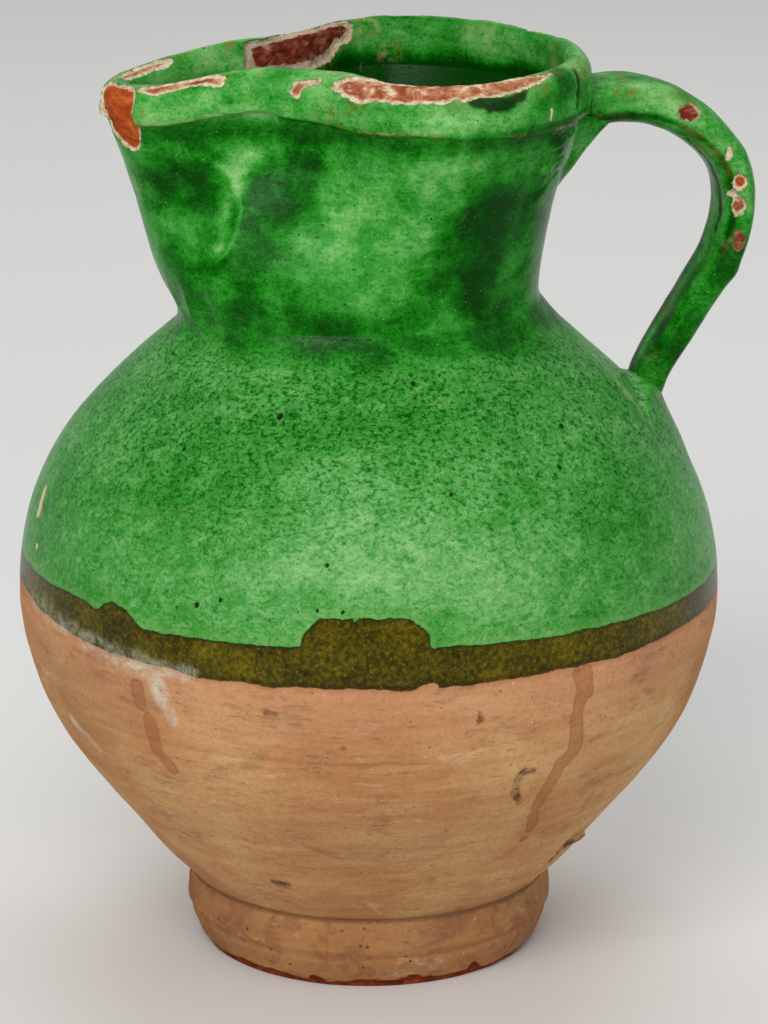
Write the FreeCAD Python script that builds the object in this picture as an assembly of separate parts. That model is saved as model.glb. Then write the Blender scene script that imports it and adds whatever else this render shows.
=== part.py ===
import FreeCAD, Part
import math
import os

# A footed earthenware jug with a pinched spout and a pulled strap handle.
# Millimetres, +Z up. The origin is the centre of the foot's rest face, the
# spout points along -X and the handle along +X.

# Foot
foot_height = 22.6
foot_rest_radius = 51.2
foot_bulge_radius = 54.9
foot_bulge_height = 13.5
foot_seat_radius = 54.0
foot_hollow_radius = 38.5
foot_hollow_seat_radius = 41.0
foot_edge_round = 1.6

# Bowl and dome
belly_radius = 104.2
belly_height = 109.5
glaze_line_height = 115.2
wall = 7.0
base_height = 16.5
floor_height = 26.0
neck_base_height = 192.1
neck_base_radius = 54.4

# Shape of the bowl from seat to widest ring: height share, radius share
bowl_shares = [(0.1, 0.174), (0.24, 0.370), (0.43, 0.628), (0.62, 0.836), (0.82, 0.961)]
# Shape of the dome from widest ring to neck: height share, radius share
dome_shares = [(0.18, 0.021), (0.37, 0.106), (0.555, 0.270), (0.74, 0.523), (0.9, 0.812)]

# Neck
neck_waist_radius = 49.8
neck_waist_rise = 9.0
neck_top_radius = 63.0
neck_height = 64.0
neck_wall = 6.5
neck_flare_power = 1.5
neck_levels = 9
neck_level_power = 1.2

# Pinched mouth and spout: angles in degrees from the spout
spout_reach = 13.8
spout_rise = 9.0
spout_droop = 6.6
spout_droop_power = 3.0
spout_droop_start = 30.0
spout_half_angle = 30.5
spout_root_half_angle = 55.0
pinch_depth = 23.9
pinch_angle = 53.0
pinch_half_angle = 34.0
pinch_start_share = 0.22
bump_power = 3.0
outline_points = 48
outline_sectors = 6

# Rim band
band_height = 14.7
band_step = 1.9
lip_crown = 1.3
lip_roll = 5.2
# Outside of the band from its foot up: height share, share of the crown, share of the roll
band_outside_shares = [(0.0, 0.0, 0.0), (0.25, 0.25, 0.0), (0.5, 0.0, 0.0), (0.78, 0.0, 0.25),
                       (0.93, 0.0, 0.6), (1.0, 0.0, 1.0)]
# Inside of the band from its foot up: height share, share of the neck's wall
band_inside_shares = [(0.0, 0.0), (0.5, 0.0), (0.85, 0.1), (1.0, 0.2)]

rim_base_height = neck_base_height + neck_height
rim_height = rim_base_height + band_height
spout_tip_radius = neck_top_radius + spout_reach

# Handle
handle_overhang = 4.9
handle_top_drop = 16.2
handle_root_inset = 5.0
# Height of the strap's foot as a share of the dome's height
handle_foot_share = 0.665
strap_top_width = 28.0
strap_bend_width = 24.0
strap_foot_width = 20.0
strap_top_thickness = 13.4
strap_foot_thickness = 9.0
strap_corner_power = 2.9
strap_bend_share = 0.5
strap_points = 20
strap_sides = 4
strap_stations = 15
# Route of the strap: share of the way out to its reach, share of its drop, first from the upper root
# and then back in to its foot
upper_route_shares = [(0.0, 0.02), (0.30, 0.0), (0.52, 0.02), (0.70, 0.07), (0.86, 0.145), (0.965, 0.235),
                      (1.0, 0.335)]
lower_route_shares = [(0.963, 0.44), (0.840, 0.545), (0.646, 0.64), (0.448, 0.735), (0.239, 0.835),
                      (0.086, 0.925), (0.0, 1.0)]

handle_reach = belly_radius + handle_overhang
handle_root_radius = neck_top_radius - handle_root_inset
handle_top_height = rim_height - handle_top_drop
handle_bottom_height = belly_height + handle_foot_share * (neck_base_height - belly_height)

# Clay wiped over the handle's two roots
root_gap = 0.1
strap_foot_sink = 1.5
upper_clay_drop = 26.6
upper_clay_overhang = 6.5
upper_clay_foot_radius = 8.0
upper_clay_head_radius = 11.5
lower_clay_offset = 3.2
lower_clay_radius = 17.0
lower_clay_thickness = 3.9

upper_clay_low = rim_base_height - upper_clay_drop
upper_clay_reach = neck_top_radius + upper_clay_overhang
lower_clay_height = handle_bottom_height - lower_clay_offset


def vector(x, y, z):
    return FreeCAD.Vector(x, y, z)


def spline_edge(points):
    curve = Part.BSplineCurve()
    curve.interpolate(Points=points)
    return curve.toShape()


def closed_edges(points, sectors):
    """A smooth closed curve through points, as a few edges end to end."""
    count = len(points)
    curve = Part.BSplineCurve()
    curve.interpolate(Points=points, PeriodicFlag=True, Parameters=[step / count for step in range(count + 1)])
    return [curve.toShape(sector / sectors, (sector + 1) / sectors) for sector in range(sectors)]


def line_edge(start, end):
    return Part.LineSegment(start, end).toShape()


def arc_edge(start, middle, end):
    return Part.Arc(start, middle, end).toShape()


def turned(edges):
    """The solid that a closed outline in the XZ plane makes when it is turned about the Z axis."""
    solid = Part.Face(Part.Wire(edges)).revolve(vector(0, 0, 0), vector(0, 0, 1), 360)
    return solid if solid.Volume > 0 else solid.reversed()


# Foot

def foot_ring():
    """A turned ring with a bulging outside, which carries the bowl on its flat top."""
    low_outer = foot_rest_radius - foot_edge_round
    low_inner = foot_hollow_radius + foot_edge_round
    bend = foot_edge_round * (1 - math.sqrt(0.5))
    hollow_seat = vector(foot_hollow_seat_radius, 0, foot_height)
    outer_side = spline_edge([
        vector(foot_rest_radius, 0, foot_edge_round),
        vector(foot_bulge_radius, 0, foot_bulge_height),
        vector(foot_seat_radius, 0, foot_height)])
    return turned([
        line_edge(vector(low_inner, 0, 0), vector(low_outer, 0, 0)),
        arc_edge(vector(low_outer, 0, 0), vector(foot_rest_radius - bend, 0, bend),
                 vector(foot_rest_radius, 0, foot_edge_round)),
        outer_side,
        line_edge(vector(foot_seat_radius, 0, foot_height), hollow_seat),
        line_edge(hollow_seat, vector(foot_hollow_radius, 0, foot_edge_round)),
        arc_edge(vector(foot_hollow_radius, 0, foot_edge_round), vector(foot_hollow_radius + bend, 0, bend),
                 vector(low_inner, 0, 0))])


# Bowl and dome

def body_radius_points():
    """The outside of the bowl and dome as radius and height, from the foot to the neck."""
    bowl = [(foot_seat_radius + share_out * (belly_radius - foot_seat_radius),
             foot_height + share_up * (belly_height - foot_height)) for share_up, share_out in bowl_shares]
    dome = [(belly_radius - share_in * (belly_radius - neck_base_radius),
             belly_height + share_up * (neck_base_height - belly_height)) for share_up, share_in in dome_shares]
    return ([(foot_seat_radius, foot_height)] + bowl + [(belly_radius, belly_height)] + dome
            + [(neck_base_radius, neck_base_height)])


def body_curve(inset):
    """The outside curve of the bowl and dome, or the same curve moved square to itself into the wall."""
    curve = Part.BSplineCurve()
    curve.interpolate(Points=[vector(radius, 0, height) for radius, height in body_radius_points()])
    if not inset:
        return curve
    inner = []
    for radius, height in body_radius_points():
        along = curve.tangent(curve.parameter(vector(radius, 0, height)))[0]
        inner.append(vector(radius - inset * along.z, 0, height + inset * along.x))
    moved = Part.BSplineCurve()
    moved.interpolate(Points=inner)
    return moved


def radius_at(curve, height):
    """Where a body curve crosses one height."""
    level = Part.LineSegment(vector(0, 0, height), vector(2 * belly_radius, 0, height))
    return curve.toShape().section(level.toShape()).Vertexes[0].Point.x


def curve_between(curve, low, high):
    """The stretch of a body curve between two heights."""
    start = curve.parameter(vector(radius_at(curve, low), 0, low))
    end = curve.parameter(vector(radius_at(curve, high), 0, high))
    return curve.toShape(start, end)


def lower_body():
    """The bare bowl: a floor that dips into the foot, and a flared wall up to the glaze line."""
    outer, inner = body_curve(0), body_curve(wall)
    top = glaze_line_height
    bowl_low = floor_height + wall
    outer_top, inner_top = radius_at(outer, top), radius_at(inner, top)
    inner_low = radius_at(inner, bowl_low)
    dip_radius = foot_hollow_radius - wall
    seat_edge = vector(foot_hollow_seat_radius - wall / 2, 0, foot_height)
    return turned([
        line_edge(vector(0, 0, base_height), vector(dip_radius, 0, base_height)),
        line_edge(vector(dip_radius, 0, base_height), seat_edge),
        line_edge(seat_edge, vector(foot_seat_radius, 0, foot_height)),
        curve_between(outer, foot_height, top),
        line_edge(vector(outer_top, 0, top), vector(inner_top, 0, top)),
        curve_between(inner, bowl_low, top),
        line_edge(vector(inner_low, 0, bowl_low), vector(inner_low - wall, 0, floor_height)),
        line_edge(vector(inner_low - wall, 0, floor_height), vector(0, 0, floor_height)),
        line_edge(vector(0, 0, floor_height), vector(0, 0, base_height))])


def shoulder():
    """The glazed dome from the glaze line to the neck."""
    outer, inner = body_curve(0), body_curve(wall)
    low, top = glaze_line_height, neck_base_height
    inner_low = radius_at(inner, low)
    inner_end = neck_base_radius - neck_wall
    throat = top - wall
    return turned([
        curve_between(outer, low, top),
        line_edge(vector(neck_base_radius, 0, top), vector(inner_end, 0, top)),
        line_edge(vector(inner_end, 0, top), vector(radius_at(inner, throat), 0, throat)),
        curve_between(inner, low, throat),
        line_edge(vector(inner_low, 0, low), vector(radius_at(outer, low), 0, low))])


# Neck, spout and rim

def bump(offset, half_width):
    """A smooth hump that is 1 in the middle and dies away at each side."""
    return math.exp(-abs(offset / half_width) ** bump_power)


def smooth_step(share):
    share = min(max(share, 0.0), 1.0)
    return share * share * (3 - 2 * share)


def round_radius(rise):
    """Radius of the neck's round back, from its foot in over the waist and out to the rim."""
    if rise < neck_waist_rise:
        share = 1 - rise / neck_waist_rise
        return neck_waist_radius + (neck_base_radius - neck_waist_radius) * share ** 2
    share = (rise - neck_waist_rise) / (neck_height - neck_waist_rise)
    return neck_waist_radius + (neck_top_radius - neck_waist_radius) * share ** neck_flare_power


def neck_outline(rise):
    """The neck's outside at one rise: round at the back, drawn in by two pinches, pulled out to a spout."""
    share = smooth_step(rise / neck_height)
    spread = spout_root_half_angle + (spout_half_angle - spout_root_half_angle) * share
    reach = spout_reach * (1 - math.exp(-rise / spout_rise))
    pinch = pinch_depth * smooth_step((rise / neck_height - pinch_start_share) / (1 - pinch_start_share))
    outline = []
    for step in range(outline_points):
        angle = 360.0 * step / outline_points
        from_spout = min(angle, 360.0 - angle)
        radius = (round_radius(min(rise, neck_height)) + reach * bump(from_spout, spread)
                  - pinch * bump(from_spout - pinch_angle, pinch_half_angle))
        turn = math.radians(180.0 + angle)
        outline.append((radius * math.cos(turn), radius * math.sin(turn)))
    return outline


def moved_out(outline, distance):
    """An outline moved square to itself, outwards where the distance is positive."""
    moved = []
    for step, (x, y) in enumerate(outline):
        before, after = outline[step - 1], outline[(step + 1) % len(outline)]
        along = (after[0] - before[0], after[1] - before[1])
        length = math.hypot(*along)
        moved.append((x + distance * along[1] / length, y - distance * along[0] / length))
    return moved


def drooped(outline, height):
    """A closed curve at one height, sinking towards the spout as the rim does."""
    rise_share = max(0.0, (height - neck_base_height) / (rim_height - neck_base_height)) ** spout_droop_power
    droop_length = spout_tip_radius - spout_droop_start
    points = []
    for x, y in outline:
        sink = spout_droop * rise_share * smooth_step((-x - spout_droop_start) / droop_length)
        points.append(vector(x, y, height - sink))
    return closed_edges(points, outline_sectors)


def walled_loft(outer_curves, inner_curves):
    """A closed wall between two stacks of curves, with a ruled ring at its foot and at its top."""
    faces = []
    for curves in (outer_curves, inner_curves):
        faces += Part.makeLoft([Part.Wire(edges) for edges in curves], False, False).Faces
    for end in (0, -1):
        for outer, inner in zip(outer_curves[end], inner_curves[end]):
            faces += Part.makeRuledSurface(outer, inner).Faces
    shell = Part.Shell(faces)
    shell.sewShape()
    solid = Part.Solid(Part.Shell(shell.Faces))
    return solid if solid.Volume > 0 else solid.reversed()


def neck():
    """The neck, from its seat on the dome to the foot of the rim band."""
    outer_curves, inner_curves = [], []
    for level in range(neck_levels):
        rise = neck_height * (level / (neck_levels - 1)) ** neck_level_power
        outline = neck_outline(rise)
        outer_curves.append(drooped(outline, neck_base_height + rise))
        inner_curves.append(drooped(moved_out(outline, -neck_wall), neck_base_height + rise))
    return walled_loft(outer_curves, inner_curves)


def rim_band():
    """The thick band round the mouth: a step out from the neck and a lip rolled over at the top."""
    outline = neck_outline(neck_height)
    outer_curves = [drooped(moved_out(outline, band_step + share_crown * lip_crown - share_roll * lip_roll),
                            rim_base_height + share_up * band_height)
                    for share_up, share_crown, share_roll in band_outside_shares]
    inner_curves = [drooped(moved_out(outline, share_in * neck_wall - neck_wall),
                            rim_base_height + share_up * band_height)
                    for share_up, share_in in band_inside_shares]
    return walled_loft(outer_curves, inner_curves)


# Handle

def round_envelope(gap):
    """The jug's round outside as one solid, a little larger, to trim what is luted on to it."""
    body_points = [vector(radius + gap, 0, height) for radius, height in body_radius_points()]
    neck_points = [vector(round_radius(neck_height * level / neck_levels) + gap, 0,
                          neck_base_height + neck_height * level / neck_levels)
                   for level in range(neck_levels + 1)]
    band_radius = neck_top_radius + band_step + max(share[1] for share in band_outside_shares) * lip_crown + gap
    low, top = vector(0, 0, foot_height), vector(0, 0, rim_height + band_height)
    band_low, band_top = vector(band_radius, 0, rim_base_height), vector(band_radius, 0, top.z)
    envelope = turned([
        line_edge(low, body_points[0]), spline_edge(body_points), spline_edge(neck_points),
        line_edge(neck_points[-1], band_low), line_edge(band_low, band_top),
        line_edge(band_top, top), line_edge(top, low)])
    envelope.rotate(vector(0, 0, 0), vector(0, 0, 1), 180)
    return envelope


def strap_route():
    """The strap's centre line in the XZ plane, from inside the rim band down to the dome."""
    drop = handle_top_height - handle_bottom_height
    foot_radius = radius_at(body_curve(0), handle_bottom_height) - strap_foot_sink
    points = []
    for start, shares in ((handle_root_radius, upper_route_shares), (foot_radius, lower_route_shares)):
        for share_out, share_down in shares:
            points.append(vector(start + share_out * (handle_reach - start), 0,
                                 handle_top_height - share_down * drop))
    curve = Part.BSplineCurve()
    curve.interpolate(Points=points)
    return curve


def strap_section(centre, along, width, thickness):
    """One cross-section of the strap: flat faces with rounded corners, square to the route."""
    outward = vector(-along.z, 0, along.x)
    points = []
    for step in range(strap_points):
        turn = 2 * math.pi * step / strap_points
        power = 2.0 / strap_corner_power
        across = math.copysign(abs(math.cos(turn)) ** power, math.cos(turn)) * width / 2
        through = math.copysign(abs(math.sin(turn)) ** power, math.sin(turn)) * thickness / 2
        points.append(centre + vector(0, across, 0) + outward * through)
    return Part.Wire(closed_edges(points, strap_sides))


def whole_strap():
    """The strap before it is trimmed: rounded sections lofted along the route, tapering downwards."""
    route = strap_route()
    first, last = route.FirstParameter, route.LastParameter
    sections = []
    for station in range(strap_stations):
        share = station / (strap_stations - 1)
        where = first + share * (last - first)
        if share < strap_bend_share:
            width = strap_top_width + (strap_bend_width - strap_top_width) * share / strap_bend_share
        else:
            width = (strap_bend_width + (strap_foot_width - strap_bend_width)
                     * (share - strap_bend_share) / (1 - strap_bend_share))
        thickness = strap_top_thickness + (strap_foot_thickness - strap_top_thickness) * share
        sections.append(strap_section(route.value(where), route.tangent(where)[0], width, thickness))
    return Part.makeLoft(sections, True, False)


def handle():
    """The pulled strap, trimmed where it meets the rim band and the dome."""
    return whole_strap().cut(round_envelope(root_gap))


def upper_root_clay():
    """A wiped cone of clay that carries the strap on the neck, below the rim band."""
    foot = vector(round_radius(upper_clay_low - neck_base_height), 0, upper_clay_low)
    head = vector(upper_clay_reach, 0, handle_top_height - strap_top_thickness / 2)
    along = head - foot
    along.normalize()
    inward = vector(-along.z, 0, along.x)
    base = foot + inward * upper_clay_foot_radius
    cone = Part.makeCone(upper_clay_foot_radius, upper_clay_head_radius, (head - foot).Length, base, along)
    return cone.cut(round_envelope(root_gap)).cut(whole_strap())


def lower_root_clay():
    """A low pad of clay, the cap of a ball, that beds the strap's foot on the dome."""
    body = body_curve(0)
    centre = vector(radius_at(body, lower_clay_height), 0, lower_clay_height)
    along = body.tangent(body.parameter(centre))[0]
    outward = vector(along.z, 0, -along.x)
    ball_radius = 1 / (2 * lower_clay_thickness / lower_clay_radius ** 2 + 1 / belly_radius)
    ball = Part.makeSphere(ball_radius, centre - outward * (ball_radius - lower_clay_thickness))
    return ball.cut(round_envelope(root_gap)).cut(whole_strap())


NODES = {
    "foot_ring": foot_ring,
    "lower_body": lower_body,
    "shoulder": shoulder,
    "neck": neck,
    "rim_band": rim_band,
    "handle": handle,
    "upper_root_clay": upper_root_clay,
    "lower_root_clay": lower_root_clay,
}

os.makedirs("parts", exist_ok=True)
for name, make in NODES.items():
    shape = make()
    print(name, "valid", shape.isValid(), "solids", len(shape.Solids), "volume", round(shape.Volume))
    shape.exportStep("parts/" + name + ".step")
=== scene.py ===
import bpy
import math
import numpy as np
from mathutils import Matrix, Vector


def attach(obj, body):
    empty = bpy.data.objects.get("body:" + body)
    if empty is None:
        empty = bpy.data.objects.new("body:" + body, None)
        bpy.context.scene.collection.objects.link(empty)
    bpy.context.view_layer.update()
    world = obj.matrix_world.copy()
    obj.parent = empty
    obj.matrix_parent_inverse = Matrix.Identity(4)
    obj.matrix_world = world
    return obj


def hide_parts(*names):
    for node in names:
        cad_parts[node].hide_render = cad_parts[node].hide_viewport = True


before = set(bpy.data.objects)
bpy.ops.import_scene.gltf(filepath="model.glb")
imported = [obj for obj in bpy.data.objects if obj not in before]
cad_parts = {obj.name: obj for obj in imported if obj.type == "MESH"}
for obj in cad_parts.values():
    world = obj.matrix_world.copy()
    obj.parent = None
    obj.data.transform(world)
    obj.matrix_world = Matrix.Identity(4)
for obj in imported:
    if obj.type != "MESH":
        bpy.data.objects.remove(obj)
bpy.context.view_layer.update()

# A glazed earthenware jug. Sizes are in millimetres until a mesh is made. "turn" is the angle in degrees
# round the jug from the spout, positive on the side that the camera sees, so the handle is at 180.
MM = 0.001

# What a mark's value is where the mark is far away. Inside a mark it is above 0, in millimetres.
nowhere = -9.0

# Sizes shared with the solids
foot_height = 22.6
foot_seat_radius = 54.0
foot_hollow_radius, foot_hollow_top_radius, foot_rest_radius = 38.5, 41.0, 49.6
floor_under, floor_top = 16.5, 26.0
glaze_line_height = 115.2
belly_radius, belly_height = 104.2, 109.5
neck_base_radius, neck_base_height = 54.4, 192.1
wall = 7.0
neck_wall = 6.5
neck_height = 64.0
band_height = 14.7
crown_height = neck_base_height + neck_height + band_height
bowl_shares = [(0.1, 0.174), (0.24, 0.370), (0.43, 0.628), (0.62, 0.836), (0.82, 0.961)]
dome_shares = [(0.18, 0.021), (0.37, 0.106), (0.555, 0.270), (0.74, 0.523), (0.9, 0.812)]


# Curves and noise

def smooth_step(share):
    share = np.clip(share, 0.0, 1.0)
    return share * share * (3 - 2 * share)


def hump(place, middle, width):
    """1 at the middle, falling softly to 0 on both sides."""
    return np.exp(-((place - middle) / width) ** 2)


def unit(vectors):
    return vectors / np.linalg.norm(vectors, axis=-1)[..., None]


def lengths_along(points):
    """The distance along a line at each of its points."""
    return np.concatenate([[0], np.cumsum(np.linalg.norm(np.diff(points, axis=0), axis=1))])


def read_off(table, where):
    """Values between the rows of a table of places and values."""
    return np.interp(where, [row[0] for row in table], [row[1] for row in table])


def spaced(points, count):
    """Points evenly spaced along a line of points."""
    points = np.array(points, float)
    length = lengths_along(points)
    where = np.linspace(0, length[-1], count)
    return np.stack([np.interp(where, length, points[:, axis]) for axis in range(points.shape[1])], axis=1)


def smooth_curve(knots, count):
    """A natural cubic spline through knots, as evenly spaced points."""
    knots = np.array(knots, float)
    steps = np.linalg.norm(np.diff(knots, axis=0), axis=1)
    places = np.concatenate([[0], np.cumsum(steps)])
    last = len(knots) - 1
    matrix, right = np.eye(last + 1), np.zeros_like(knots)
    for knot in range(1, last):
        matrix[knot, knot - 1:knot + 2] = steps[knot - 1], 2 * (steps[knot - 1] + steps[knot]), steps[knot]
        right[knot] = 6 * ((knots[knot + 1] - knots[knot]) / steps[knot]
                           - (knots[knot] - knots[knot - 1]) / steps[knot - 1])
    bend = np.linalg.solve(matrix, right)
    fine = np.linspace(0, places[-1], 60 * last)
    span = np.clip(np.searchsorted(places, fine, side="right") - 1, 0, last - 1)
    width = steps[span][:, None]
    back = ((places[span + 1] - fine) / steps[span])[:, None]
    ahead = 1 - back
    curve = (back * knots[span] + ahead * knots[span + 1]
             + ((back ** 3 - back) * bend[span] + (ahead ** 3 - ahead) * bend[span + 1]) * width ** 2 / 6)
    return spaced(curve, count)


def lattice(cell, seed):
    """A repeatable number from -1 to 1 for each whole-numbered cell."""
    mixed = cell[..., 0] * 374761393 + cell[..., 1] * 668265263 + cell[..., 2] * 1103515245
    mixed = (mixed + seed * 974634777) & 0xffffffff
    mixed = ((mixed ^ (mixed >> 13)) * 1274126177) & 0xffffffff
    return ((mixed ^ (mixed >> 16)) & 0xffff) / 32767.5 - 1


def noise(points, size, seed, octaves=1):
    """Smooth noise from -1 to 1 whose lumps are about one size across."""
    total = np.zeros(points.shape[:-1])
    for octave in range(octaves):
        place = points * 2 ** octave / size + 11.7 * (seed + octave)
        cell = np.floor(place).astype(np.int64)
        part = smooth_step(place - cell)
        for corner in np.ndindex(2, 2, 2):
            weight = np.prod(np.where(corner, part, 1 - part), axis=-1)
            total += weight * lattice(cell + np.array(corner), seed + octave) / 2 ** octave
    return total


def patches(points, size, seed, start, soft, octaves=2):
    """Noise cut to patches: 0 where it is below the start, rising to 1 over the soft edge."""
    return smooth_step((noise(points, size, seed, octaves) - start) / soft)


def to_line(across, up, start, end):
    """Distance from a straight line, and the share of the line passed at its nearest place."""
    (x0, y0), (x1, y1) = start, end
    span = max((x1 - x0) ** 2 + (y1 - y0) ** 2, 1e-9)
    part = np.clip(((across - x0) * (x1 - x0) + (up - y0) * (y1 - y0)) / span, 0, 1)
    return np.hypot(across - x0 - part * (x1 - x0), up - y0 - part * (y1 - y0)), part


def stroke(across, up, route):
    """How far inside a brushed line each place lies, in millimetres. The route holds (across, up, half
    width) stations, and one station makes a dot."""
    inside = np.full(np.broadcast(across, up).shape, -1e3)
    for (*start, wide_start), (*end, wide_end) in zip(route, route[1:] or route):
        away, part = to_line(across, up, start, end)
        inside = np.maximum(inside, wide_start + part * (wide_end - wide_start) - away)
    return inside


def laid_out(route, degree):
    """A route given in degrees across, laid out in millimetres, with the length of one degree."""
    return [(turn * degree, height, half_width) for turn, height, half_width in route]


def outline_inside(across, up, corners):
    """How far inside a closed outline each place lies, in millimetres, and negative outside it."""
    away = np.full(np.broadcast(across, up).shape, 1e3)
    odd = np.zeros(away.shape, bool)
    for (x0, y0), (x1, y1) in zip(corners, corners[1:] + corners[:1]):
        away = np.minimum(away, to_line(across, up, (x0, y0), (x1, y1))[0])
        if y0 != y1:
            crossed = ((y0 > up) != (y1 > up)) & (across < x0 + (up - y0) * (x1 - x0) / (y1 - y0))
            odd = odd ^ crossed
    return np.where(odd, away, -away)


def round_jug(radius, turn, height):
    """Places at a radius, a turn and a height."""
    azimuth = np.radians(turn - 180)
    return np.stack([radius * np.cos(azimuth), radius * np.sin(azimuth), height + 0 * azimuth], axis=-1)


# The jug's outside as a rule: bowl and dome

def body_outline(count):
    """The outside of the bowl and dome as radius and height."""
    bowl = [(foot_seat_radius + out * (belly_radius - foot_seat_radius),
             foot_height + up * (belly_height - foot_height)) for up, out in bowl_shares]
    dome = [(belly_radius - inward * (belly_radius - neck_base_radius),
             belly_height + up * (neck_base_height - belly_height)) for up, inward in dome_shares]
    return smooth_curve([(foot_seat_radius, foot_height)] + bowl + [(belly_radius, belly_height)] + dome
                        + [(neck_base_radius, neck_base_height)], count)


BODY = body_outline(900)
BODY_SLOPE = unit(np.gradient(BODY, axis=0))


def body_at(height):
    """Radius of the bowl and dome, and the outward direction (out, up), at each height."""
    radius = np.interp(height, BODY[:, 1], BODY[:, 0])
    out = np.interp(height, BODY[:, 1], BODY_SLOPE[:, 1])
    up = -np.interp(height, BODY[:, 1], BODY_SLOPE[:, 0])
    return radius, out, up


def body_stretch(low, high, inset, count):
    """Evenly spaced places on the body curve between two heights, moved into the wall by an inset."""
    fine = np.linspace(low, high, 600)
    radius, out, up = body_at(fine)
    return spaced(np.stack([radius - inset * out, fine - inset * up], axis=1), count)


# Neck, spout and rim

neck_waist_radius, neck_waist_rise, neck_top_radius, neck_flare_power = 49.8, 9.0, 63.0, 1.5
spout_reach, spout_rise, spout_droop, spout_droop_start = 13.8, 9.0, 6.6, 30.0
spout_half_angle, spout_root_half_angle = 30.5, 55.0
pinch_depth, pinch_angle, pinch_half_angle, pinch_start_share = 23.9, 53.0, 34.0, 0.22
spout_tip_radius = neck_top_radius + spout_reach


def bump(offset, half_width):
    return np.exp(-np.abs(offset / half_width) ** 3)


def neck_radius(turn, rise):
    """Radius of the neck's outside: round at the back, drawn in by two pinches, pulled out to a spout."""
    rise = np.clip(rise, 0, neck_height)
    base = np.clip(1 - rise / neck_waist_rise, 0, 1) ** 2
    low = neck_waist_radius + (neck_base_radius - neck_waist_radius) * base
    flare = np.clip((rise - neck_waist_rise) / (neck_height - neck_waist_rise), 0, 1)
    high = (neck_top_radius - neck_waist_radius) * flare ** neck_flare_power
    share = rise / neck_height
    spread = spout_root_half_angle + (spout_half_angle - spout_root_half_angle) * smooth_step(share)
    reach = spout_reach * (1 - np.exp(-rise / spout_rise)) * bump(turn, spread)
    pinch = pinch_depth * smooth_step((share - pinch_start_share) / (1 - pinch_start_share))
    return low + high + reach - pinch * bump(np.abs(turn) - pinch_angle, pinch_half_angle)


def rim_sink(x, height):
    """How far the mouth droops towards the spout, more at the rim than below it."""
    share = np.clip((height - neck_base_height) / (neck_height + band_height), 0, 1) ** 3
    out = (-x - spout_droop_start) / (spout_tip_radius - spout_droop_start)
    return spout_droop * share * smooth_step(out)


def neck_place(turn, rise, offset):
    """Places on the neck, moved square to its outline by an offset, and the level outward directions."""
    def level_place(angle):
        return round_jug(neck_radius((angle + 180) % 360 - 180, rise), angle, 0.0)[..., :2]
    along = unit(level_place(turn + 0.2) - level_place(turn - 0.2))
    out = np.stack([along[..., 1], -along[..., 0]], axis=-1)
    flat = level_place(turn)
    height = neck_base_height + rise - rim_sink(flat[..., 0], neck_base_height + rise)
    flat = flat + out * np.broadcast_to(offset, flat.shape[:-1])[..., None]
    height = np.broadcast_to(height, flat.shape[:-1])
    return (np.concatenate([flat, height[..., None]], axis=-1),
            np.concatenate([out, np.zeros_like(height)[..., None]], axis=-1))


# Distance round the rim from the spout's tip, to place what lies on the band
RIM_TURNS = np.linspace(-180, 180, 1441)
rim_line = neck_place(RIM_TURNS, np.full(RIM_TURNS.shape, neck_height), 0.0)[0]
RIM_ARC = lengths_along(rim_line[:, :2])
RIM_ARC -= RIM_ARC[len(RIM_ARC) // 2]


def rim_arc(turn):
    return np.interp(turn, RIM_TURNS, RIM_ARC)


def on_rim(corners):
    """An outline given in degrees round the rim, laid out in millimetres."""
    return [(float(rim_arc(turn)), down) for turn, down in corners]


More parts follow.
